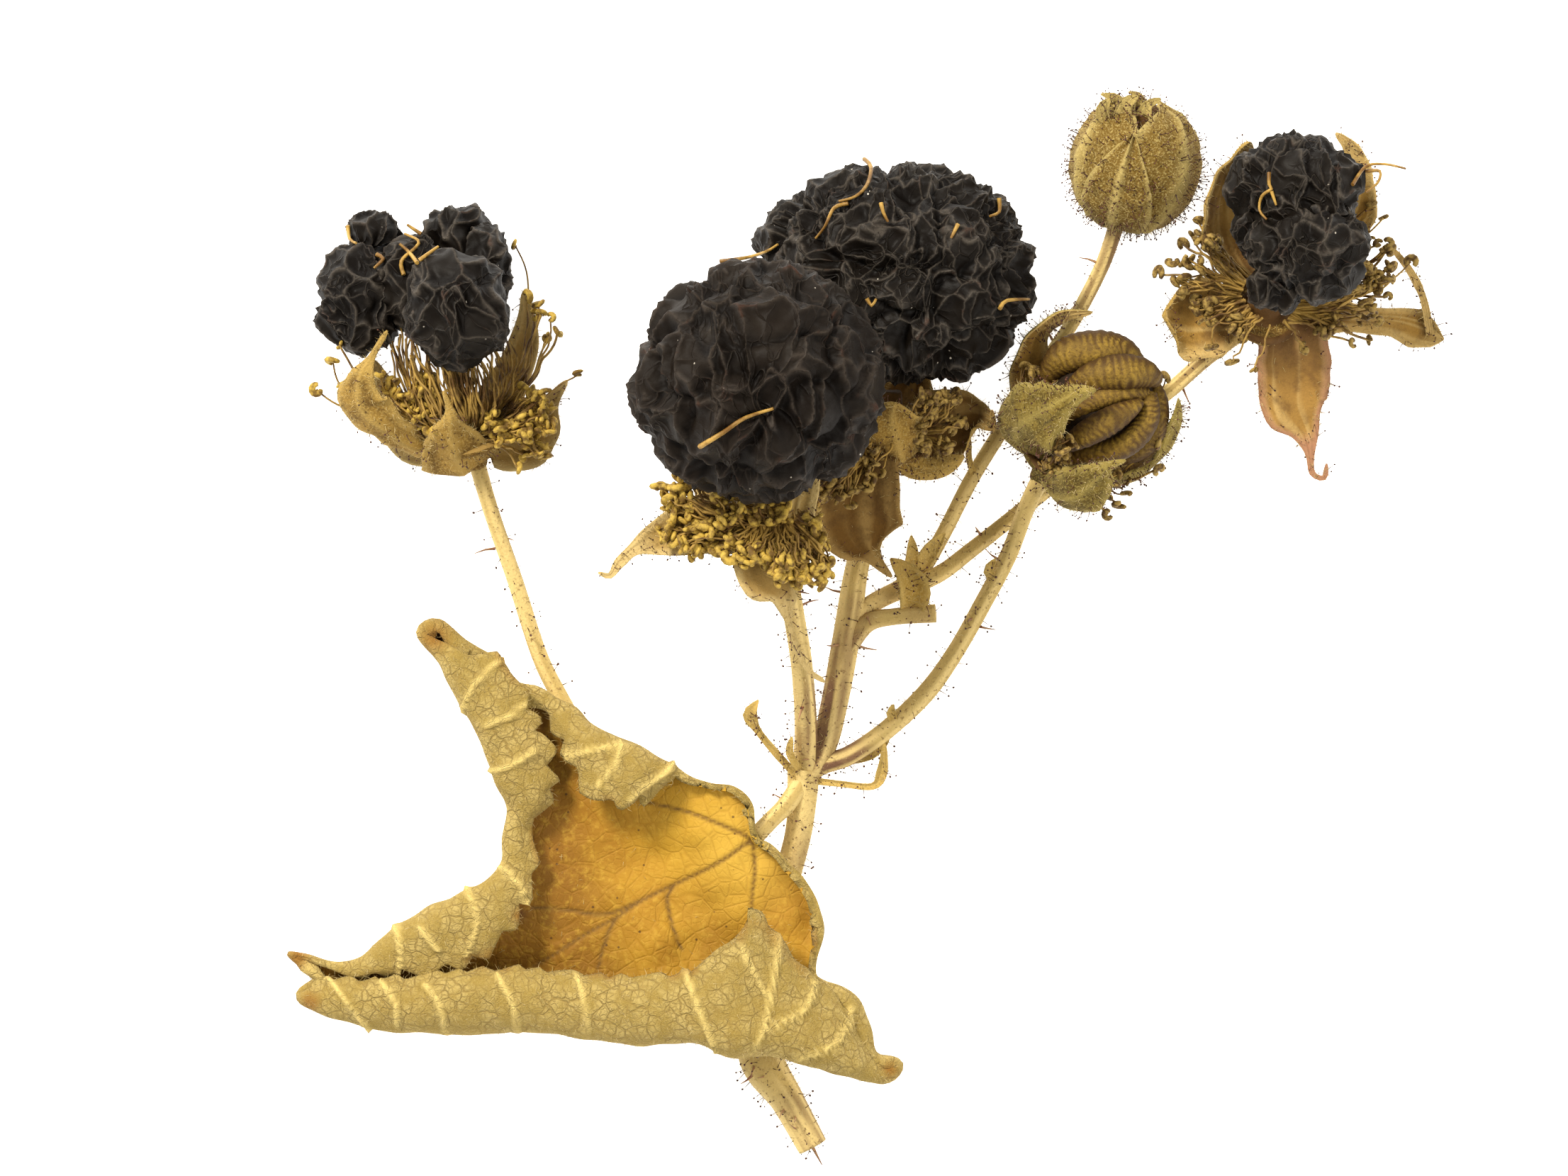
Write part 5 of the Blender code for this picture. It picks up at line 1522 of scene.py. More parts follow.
HEADS = [
    Head("front_calyx", (-0.7, 8.75, 8.4), (-1.9, 16.9, 12.6), 1.9, 2.6, 4.6, 1.8, [
        Blade([
            (-1.7, 9.7, 9.7, 2.8), (-1.5, 8.8, 9.7, 2.7), (-0.9, 7.9, 9.3, 1.4), (-0.75, 7.1, 8.5, 0.6),
            (-0.4, 5.9, 7.3, 0.45), (0.1, 4.7, 6.3, 0.42), (0.9, 4.1, 5.8, 0.42),
        ]),
        Blade([
            (-2.0, 10.3, 8.9, 1.8), (-4.2, 10.8, 8.1, 2.6), (-5.8, 10.4, 8.0, 1.9), (-7.1, 9.9, 8.0, 0.8),
            (-7.9, 9.2, 8.1, 0.6), (-8.3, 8.65, 8.3, 0.45), (-8.8, 8.8, 8.5, 0.42),
        ]),
        Blade([
            (-0.3, 10.7, 8.4, 1.4), (0.0, 12.2, 7.8, 1.3), (0.3, 13.6, 7.3, 1.0), (0.4, 14.6, 7.0, 0.45),
        ]),
        Blade([
            (-2.0, 10.9, 8.3, 1.8), (-3.3, 12.4, 7.2, 2.4), (-4.4, 13.8, 6.6, 1.4), (-5.0, 14.8, 6.4, 0.45),
        ]),
        Blade([
            (-0.8, 10.9, 8.0, 1.8), (-0.7, 12.7, 6.9, 2.4), (-0.6, 14.3, 6.2, 1.4), (-0.6, 15.4, 6.0, 0.45),
        ]),
    ], [
        (-6.0, 12.3, 9.6, 0.55), (-5.3, 12.4, 10.0, 1.0), (-5.5, 11.4, 9.5, 1.0), (-5.7, 10.4, 9.4, 1.1),
        (-4.8, 9.9, 9.8, 1.1), (-4.3, 11.0, 10.2, 1.3), (-3.6, 10.1, 10.2, 1.2), (-2.6, 9.7, 10.8, 1.2),
        (-1.6, 9.3, 11.0, 1.3), (-0.6, 8.9, 10.9, 1.2), (0.2, 8.8, 10.5, 1.1), (0.7, 8.9, 10.0, 0.8),
        (0.4, 9.8, 10.0, 1.1), (0.2, 10.7, 10.2, 1.0), (-3.3, 11.5, 10.6, 1.2), (-1.1, 11.3, 10.9, 0.9),
        (-2.2, 11.4, 10.8, 0.8),
    ], inside=PALE_INSIDE, anther_finish=YELLOW_ANTHER, seed=1, bunch=13.0, kink=0.4, filament_radius=0.06,
         anther_size=0.38, core_radius=0.5),
    Head("back_calyx", (3.4, 12.7, 3.4), (3.9, 21.9, 5.0), 1.5, 2.1, 4.0, 1.8, [
        Blade([
            (2.9, 13.9, 5.2, 2.4), (2.5, 12.7, 5.5, 3.4), (2.35, 11.6, 5.3, 3.7), (2.4, 10.7, 4.9, 3.6),
            (2.6, 10.05, 4.7, 2.5), (2.9, 9.6, 4.6, 1.0), (3.3, 9.1, 4.5, 0.6), (3.8, 8.6, 4.4, 0.45),
        ], hollow=0.16, wave=0.04, rag=0.02, woolly=0.35),
        Blade([
            (4.2, 13.7, 5.0, 1.6), (4.0, 14.5, 6.0, 2.5), (3.8, 15.3, 6.6, 2.4), (3.9, 16.1, 6.9, 0.9),
        ], inside=(0, 0, -1)),
        Blade([
            (4.6, 14.4, 3.4, 2.2), (5.7, 15.0, 3.2, 3.2), (6.9, 15.4, 3.5, 2.9), (7.7, 15.4, 4.1, 1.4),
            (8.1, 15.1, 4.9, 0.6), (8.1, 15.8, 5.5, 0.42),
        ], hollow=0.2),
        Blade([
            (4.0, 13.9, 4.5, 1.2), (5.0, 13.35, 4.6, 1.2), (5.9, 13.35, 4.7, 1.0), (6.9, 13.8, 4.9, 0.5),
        ], inside=(0, 0, -1)),
        Blade([
            (3.9, 14.4, 2.4, 2.2), (4.4, 16.0, 1.3, 2.6), (4.8, 17.4, 0.5, 1.4), (5.0, 18.4, 0.35, 0.45),
        ]),
        Blade([
            (2.5, 14.2, 3.2, 2.2), (1.2, 14.9, 2.9, 2.6), (0.0, 15.5, 3.0, 1.6), (-0.9, 15.8, 3.4, 0.45),
        ]),
    ], [
        (5.3, 14.2, 5.6, 0.8), (6.1, 14.3, 5.3, 0.7), (6.6, 15.2, 5.0, 0.8), (6.5, 16.2, 5.3, 0.7),
        (5.5, 15.4, 6.0, 0.8), (6.0, 16.3, 6.1, 0.7), (5.0, 16.3, 6.3, 0.6), (2.6, 13.7, 6.9, 1.0),
        (0.9, 12.6, 6.9, 1.2), (1.5, 12.2, 6.8, 1.1), (2.3, 12.7, 6.8, 1.0), (3.1, 13.1, 6.6, 0.9),
        (0.4, 11.8, 6.6, 0.8),
    ], inside=VELVET_INSIDE, seed=2),
    Head("right_calyx", (19.4, 19.6, 2.2), (21.4, 22.8, 7.4), 1.3, 1.9, 3.4, 1.7, [
        Blade([
            (20.6, 20.0, 3.3, 2.6), (21.1, 18.9, 3.0, 3.0), (21.2, 17.3, 2.4, 3.2),
            (21.2, 16.0, 2.1, 2.8), (21.7, 14.9, 2.0, 1.4), (21.9, 14.0, 2.2, 0.6),
            (22.0, 13.1, 2.4, 0.45), (22.5, 12.9, 2.7, 0.42), (22.6, 13.5, 2.9, 0.42),
        ], hollow=0.08, blush=0.75),
        Blade([
            (19.0, 19.9, 2.9, 2.2), (18.0, 19.8, 2.4, 3.4), (16.8, 19.8, 2.4, 3.8), (15.9, 19.9, 2.9, 3.0),
            (15.6, 19.9, 3.6, 1.6),
        ], hollow=0.22, woolly=0.9),
        Blade([
            (19.3, 21.2, 3.2, 1.8), (18.3, 22.6, 3.3, 2.3), (17.8, 24.2, 3.7, 2.2), (18.2, 25.7, 4.3, 1.7),
            (18.8, 26.8, 5.0, 1.2), (19.2, 27.3, 5.6, 0.6),
        ], inside=(0.6, -0.2, 0.8)),
        Blade([
            (20.8, 20.4, 3.0, 1.6), (22.8, 20.0, 2.4, 1.7), (24.4, 19.7, 2.1, 1.1), (25.6, 19.6, 2.0, 1.4),
            (26.6, 19.3, 2.0, 1.6), (27.3, 19.0, 2.1, 1.0), (27.7, 18.9, 2.2, 0.45),
        ]),
        Blade([
            (27.1, 19.1, 2.1, 0.5), (26.8, 20.6, 2.7, 0.5), (26.2, 21.8, 3.2, 0.5), (25.4, 22.8, 3.6, 0.42),
        ]),
        Blade([
            (20.6, 21.6, 3.2, 1.8), (22.7, 22.9, 3.3, 2.1), (23.8, 24.3, 3.9, 1.8), (24.0, 25.8, 4.4, 1.2),
            (23.6, 27.0, 5.0, 0.8), (22.9, 27.7, 5.4, 0.45),
        ]),
    ], [
        (16.7, 22.2, 4.8, 0.8), (17.5, 23.0, 5.2, 0.9), (16.4, 21.1, 4.4, 0.8), (17.3, 20.1, 4.2, 1.0),
        (18.6, 19.4, 4.5, 0.9), (22.6, 19.4, 4.2, 0.9), (24.3, 20.1, 4.0, 1.0), (24.9, 21.6, 4.5, 1.0),
        (25.1, 22.8, 5.0, 0.7), (24.2, 22.3, 5.2, 1.1), (24.2, 21.2, 4.8, 1.1), (24.0, 23.2, 5.0, 0.9),
    ], [
        (15.3, 21.7), (15.9, 22.2), (16.4, 22.95), (16.8, 23.3), (17.0, 24.0), (17.4, 23.2), (17.8, 22.8),
        (17.5, 19.9), (17.6, 18.5), (18.9, 19.4), (18.5, 17.9), (19.4, 17.5), (21.6, 18.5), (22.7, 19.6),
        (23.7, 18.7), (24.4, 18.8), (23.3, 19.4), (25.2, 20.7), (25.1, 21.5), (26.2, 22.2), (24.5, 24.7),
        (25.0, 24.1),
    ], seed=3),
    Head("left_calyx", (-14.1, 13.5, 2.6), (-16.0, 20.6, 4.6), 1.1, 1.3, 5.2, 1.5, [
        Blade([
            (-14.7, 13.2, 3.1, 3.6), (-15.0, 13.9, 4.2, 3.0), (-15.2, 14.8, 5.1, 1.7),
            (-15.2, 15.7, 5.6, 0.6), (-15.5, 16.6, 5.9, 0.42),
        ], inside=(0, 0.4, -1)),
        Blade([
            (-15.3, 14.0, 2.6, 1.4), (-16.9, 14.3, 3.6, 1.6), (-18.1, 15.0, 4.6, 2.0),
            (-19.1, 15.9, 5.1, 2.6), (-19.1, 16.9, 5.5, 1.6), (-18.7, 17.9, 5.8, 0.6),
            (-17.9, 19.2, 6.0, 0.42),
        ], inside=(0.5, 0.3, -0.8)),
        Blade([
            (-15.2, 14.2, 2.0, 1.6), (-16.9, 14.3, 1.5, 1.7), (-17.8, 15.7, 1.1, 1.8),
            (-18.3, 17.0, 0.9, 1.0), (-18.6, 18.0, 0.9, 0.45),
        ]),
        Blade([
            (-13.6, 14.1, 2.5, 1.6), (-12.4, 14.5, 2.3, 2.8), (-11.5, 15.3, 2.5, 2.4),
            (-10.9, 16.2, 3.0, 0.9), (-10.2, 17.1, 3.6, 0.42),
        ]),
        Blade([
            (-14.1, 14.8, 2.2, 1.8), (-12.9, 16.8, 1.6, 1.8), (-12.2, 18.4, 1.5, 1.4),
            (-12.0, 19.8, 1.6, 0.9), (-12.1, 21.0, 2.0, 0.45),
        ]),
    ], [
        (-16.4, 15.5, 4.6, 1.2), (-17.2, 16.0, 4.3, 1.2), (-16.4, 16.6, 5.0, 1.2), (-18.0, 17.0, 4.2, 0.8),
        (-13.5, 15.2, 4.6, 0.9), (-12.5, 14.9, 4.3, 1.3), (-11.4, 15.4, 4.3, 1.2), (-11.5, 14.3, 4.0, 1.0),
        (-11.6, 16.4, 4.4, 1.0), (-12.5, 23.0, 2.2, 0.2),
    ], [
        (-11.9, 20.7), (-11.4, 20.4), (-11.6, 19.9), (-10.9, 19.8), (-10.6, 19.2), (-11.1, 18.9),
        (-9.7, 17.4), (-20.0, 18.6), (-20.3, 17.9), (-20.0, 16.9), (-21.0, 16.7), (-12.3, 13.3),
        (-11.6, 13.9), (-11.3, 20.0), (-11.0, 19.0),
    ], inside=PALE_INSIDE, seed=4, bunch=13.0, core_radius=0.45, anther_finish=YELLOW_ANTHER, glands=1.0,
         strands=[
        (-17.3, 18.9, 4.4, 1.1), (-16.3, 18.4, 5.6, 1.3), (-15.1, 18.0, 5.8, 1.3), (-14.0, 18.0, 5.2, 1.2),
        (-13.1, 18.3, 4.2, 1.0), (-12.4, 17.2, 3.4, 0.9), (-16.4, 17.2, 4.6, 0.9),
    ]),
    Head("petal_bud_calyx", (10.2, 12.8, 3.5), (12.8, 15.9, 4.9), 0.9, 0.9, 0.95, 1.3, [
        Blade([
            (10.3, 13.8, 4.4, 1.6), (9.3, 14.6, 5.6, 3.0), (9.6, 15.3, 7.2, 3.2), (10.6, 15.9, 8.4, 2.1),
            (11.6, 16.4, 8.8, 1.0), (12.5, 16.6, 9.0, 0.45),
        ], inside=(0.6, 0.2, -0.8)),
        Blade([
            (10.5, 12.9, 4.4, 1.4), (10.9, 12.1, 5.6, 2.1), (11.8, 12.2, 6.8, 2.4), (12.5, 12.7, 7.6, 1.8),
            (13.0, 13.3, 8.0, 0.7), (13.8, 13.6, 8.1, 0.45),
        ], inside=(0.3, 0.6, -0.7)),
        Blade([
            (11.3, 13.1, 3.8, 1.6), (13.4, 12.7, 3.4, 2.4), (15.0, 13.4, 3.6, 2.4), (15.9, 14.6, 4.4, 1.8),
            (16.05, 15.5, 5.2, 1.0), (16.1, 16.3, 5.9, 0.45),
        ], inside=(-0.7, 0.7, 0.2)),
        Blade([
            (10.5, 13.8, 3.8, 1.6), (9.6, 16.2, 3.5, 2.0), (9.6, 17.8, 4.0, 1.9), (10.0, 19.1, 4.6, 1.4),
            (11.1, 19.9, 5.5, 0.8), (12.4, 20.0, 6.2, 0.45),
        ], inside=(0.6, -0.5, 0.8)),
        Blade([
            (11.2, 14.4, 2.9, 1.8), (12.4, 15.4, 2.1, 2.4), (13.8, 17.0, 2.1, 2.1), (14.8, 18.0, 2.6, 0.7),
        ]),
    ], [(11.3, 14.2, 7.6, 0.8), (10.9, 13.5, 6.4, 0.9), (11.5, 13.7, 6.7, 0.7), (9.9, 17.5, 5.4, 0.7)], [
        (10.1, 17.4), (9.4, 17.7), (10.7, 17.2), (11.5, 17.7), (10.3, 13.4), (10.9, 13.3), (13.3, 12.6),
        (13.9, 12.2), (13.6, 11.7), (13.1, 11.3), (13.2, 12.1), (13.5, 13.0), (14.0, 12.7), (15.3, 13.2),
        (15.3, 14.4), (15.6, 17.2),
    ], single_height=5.0, outside=OLIVE_FELT, seed=5, bunch=8.0, glands=3.2),
]


# The opening bud's petals


@dataclass
class PetalBud:
    """Browned petals, curled into fat crescents that lie side by side on a round core."""

    node: str = "petal_bud_petals"
    core: Lobe = field(default_factory=lambda: Lobe((12.9, 16.0, 4.9), (2.3, 2.3, 1.9)))
    folds: tuple = (
        ((10.4, 17.2, 4.9, 0.40), (11.2, 18.0, 5.3, 0.80), (12.5, 18.35, 5.6, 0.88), (13.7, 18.2, 5.4, 0.75),
         (14.5, 17.7, 5.0, 0.35)),
        ((11.4, 16.6, 5.8, 0.35), (12.3, 17.1, 6.3, 0.68), (13.6, 17.4, 6.5, 0.82), (14.6, 17.35, 6.2, 0.66),
         (15.2, 17.05, 5.7, 0.32)),
        ((11.3, 15.5, 5.9, 0.40), (12.6, 16.2, 6.4, 0.55), (13.8, 16.5, 6.3, 0.50), (14.8, 16.5, 5.9, 0.25)),
        ((11.4, 14.3, 6.3, 0.35), (12.1, 14.75, 6.9, 0.56), (13.1, 15.3, 7.1, 0.60), (14.0, 15.8, 6.9, 0.42),
         (14.45, 16.1, 6.5, 0.20)),
        ((11.2, 13.7, 5.2, 0.45), (13.1, 14.0, 6.0, 0.55), (14.2, 14.6, 6.3, 0.55), (14.8, 15.5, 6.1, 0.50),
         (14.9, 16.5, 5.8, 0.30)),
        ((13.4, 13.7, 4.6, 0.35), (14.5, 14.1, 5.0, 0.45), (15.15, 15.0, 5.2, 0.48), (15.3, 16.1, 5.2, 0.42),
         (15.1, 17.0, 5.0, 0.20)),
    )
    sides: int = 36
    step: float = 0.06
    wrinkle: float = 0.27  # the distance from one wrinkle to the next

    def fold(self, points: Sequence[Point], seed: int) -> Shell:
        """One crescent, with fine wrinkles across it.

        Args:
            points: The path down its middle, with its radii.
            seed: What makes one differ from another.

        Returns:
            The crescent, with "back" at its points: 1 where it faces up and on its wrinkles' crests, 0
            underneath and in its grooves; the finish paints its highlight and shade by it.
        """
        path = smooth(points, self.step)
        along = np.arange(len(path)) * self.step
        angles = round_angles(self.sides)
        where = np.broadcast_arrays(along[:, None], np.cos(angles), np.sin(angles))
        where = np.stack(where, -1).reshape(-1, 3)
        phase = 2 * math.pi * where[:, 0] / self.wrinkle + 3.4 * ripple(where, 1.3, seed)
        wrinkle = (np.sin(phase) * (0.7 + 0.4 * ripple(where, 1.0, seed + 9))).reshape(len(path), -1)
        lumps = ripple(where, 2.2, seed + 3).reshape(len(path), -1)
        shell = tube(path, self.sides, 1 + 0.035 * wrinkle + 0.03 * lumps, 1.1)
        centre = np.repeat(path[:, :3], self.sides, axis=0)
        upwards = (shell.points - centre)[:, 2] / np.repeat(path[:, 3], self.sides)
        # how strongly the painted highlight shows: on up-facing parts and wrinkle crests
        shell.values["back"] = np.clip(0.62 * upwards + 0.28 + 0.17 * wrinkle.ravel(), 0, 1)
        return shell

    def build(self) -> None:
        """Makes the petals."""
        core = self.core.body(4, 0.0)
        core.points = self.core.placed(core.points)
        folds = [self.fold(points, 60 + k) for k, points in enumerate(self.folds)]
        mesh = Shell.joined([core] + folds).mesh(self.node)
        piece = finished(f"{self.node}_folds", mesh, [PETAL], "browned_petal")
        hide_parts(self.node)


# The closed bud


@dataclass
class ClosedBud:
    """A bud whose five felted sepals are folded over each other, with their dry tips at its crown."""

    node: str = "closed_bud"
    centre: tuple = (14.3, 26.45, 3.15)
    base: tuple = (13.6, 23.9, 2.7)
    radius: float = 2.7
    length: float = 2.9
    thickness: float = 0.25
    sepals: tuple = (  # each sepal's angle round the bud, half width, reach, lift and fullness
        (0.75, 0.95, 0.96, 0.0, 3.2), (2.2, 0.95, 0.96, 0.0, 3.2), (-2.62, 1.08, 0.95, 0.08, 5.0),
        (-0.80, 1.10, 0.97, 0.14, 5.0), (-1.78, 0.90, 0.66, 0.27, 1.7),
    )
    rows: int = 40
    columns: int = 31

    def surface(self, polar: Array, angle: Array, out: Array) -> Array:
        """Places on the bud, by the angle from its base, the angle round it and how far out they stand.

        Args:
            polar: The angles from its base.
            angle: The angles round it.
            out: How far out they stand.

        Returns:
            The places.
        """
        side, other, axis = directions(self.base, self.centre)
        across = (self.radius + out) * np.sin(polar) ** 0.85
        along = (self.length + out) * np.cos(polar)
        round_ = side * np.cos(angle)[..., None] + other * np.sin(angle)[..., None]
        return np.array(self.centre) + across[..., None] * round_ - along[..., None] * axis

    def sepal(self, number: int) -> Shell:
        """One sepal: broad at the base, pointed at the crown, its edges raised over its neighbours.

        Args:
            number: Which sepal it is.

        Returns:
            The sepal as a closed shell.
        """
        middle, wide, reach, lift, fullness = self.sepals[number]
        along = np.linspace(0.02, reach, self.rows)
        polar = math.pi * along
        across = np.linspace(-1, 1, self.columns)
        half = wide * (1 - (along / reach) ** fullness) + 0.04
        angle = middle + half[:, None] * across[None]
        polars = np.broadcast_to(polar[:, None], angle.shape)
        fold = 0.16 * np.abs(across) ** 6 - 0.12 * np.abs(across) ** 2 + 0.05 * np.cos(9 * across)
        rib = 0.10 * np.exp(-(across / 0.10) ** 2)
        out = (0.02 + lift + fold + rib)[None] * np.sin(polars)
        outer = self.surface(polars, angle, out)
        flat = outer.reshape(-1, 3)
        flat = flat + unit(flat - np.array(self.centre)) * (0.05 * ripple(flat, 0.9, 70 + number))[:, None]
        inner = self.surface(polars, angle, out - self.thickness).reshape(-1, 3)
        count = len(flat)
        sheet = grid_faces(self.rows, self.columns, False)
        faces = two_sided(sheet, grid_rim(self.rows, self.columns), count)
        rim = np.broadcast_to(eased(np.abs(across), 0.75, 1.0), polars.shape).ravel()
        ribs = np.broadcast_to(np.exp(-(across / 0.12) ** 2), polars.shape).ravel()
        values = {
            "rim": np.tile(rim, 2), "rib": np.tile(ribs, 2),
            "cover": np.concatenate([1 + 1.5 * rim, np.zeros(count)]),
        }
        return Shell(np.concatenate([flat, inner]), faces, [0] * len(faces), values)

    def tips(self) -> list[Shell]:
        """The sepals' dry tips, curled over the crown."""
        crown = [
            [(13.0, 28.2, 4.7, 1.0), (12.9, 28.8, 5.1, 0.7), (13.2, 29.2, 5.4, 0.45)],
            [(13.7, 28.3, 5.0, 0.9), (13.9, 29.0, 5.3, 0.7), (14.4, 29.3, 5.2, 0.45)],
            [(14.6, 28.2, 4.8, 0.9), (14.8, 28.9, 5.0, 0.6), (15.4, 29.2, 4.6, 0.42)],
            [(13.3, 28.7, 4.4, 0.9), (13.5, 29.2, 4.6, 0.6), (12.8, 29.4, 4.8, 0.42)],
            [(14.4, 28.7, 4.2, 0.9), (14.5, 29.3, 4.4, 0.5), (14.0, 29.5, 4.7, 0.42)],
        ]
        tips = [Blade(points, thickness=0.2).shell(80 + k) for k, points in enumerate(crown)]
        for tip in tips:
            tip.slots = [Side.OUTER.value] * len(tip.faces)
        return tips

    def build(self) -> None:
        """Makes the bud with its felt and glands."""
        radius = self.radius - 0.12
        core = Lobe(self.centre, (radius, self.length - 0.15, radius)).body(4, 0.0)
        core.points = core.points + np.array(self.centre)
        core.slots = [Side.INNER.value] * len(core.faces)
        sepals = [self.sepal(k) for k in range(len(self.sepals))]
        bud = Shell.joined([core] + sepals + self.tips())
        finishes = [BUD_FELT, VELVET_INSIDE]
        piece = finished(f"{self.node}_sepals", bud.mesh(self.node), finishes, "felted_sepal")
        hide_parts(self.node)
        BUD_HAIRS.on(f"{self.node}_felt", bud, "felted_sepal", 41)
        BUD_GLANDS.on(f"{self.node}_glands", bud, "felted_sepal", 42)


# The leaf


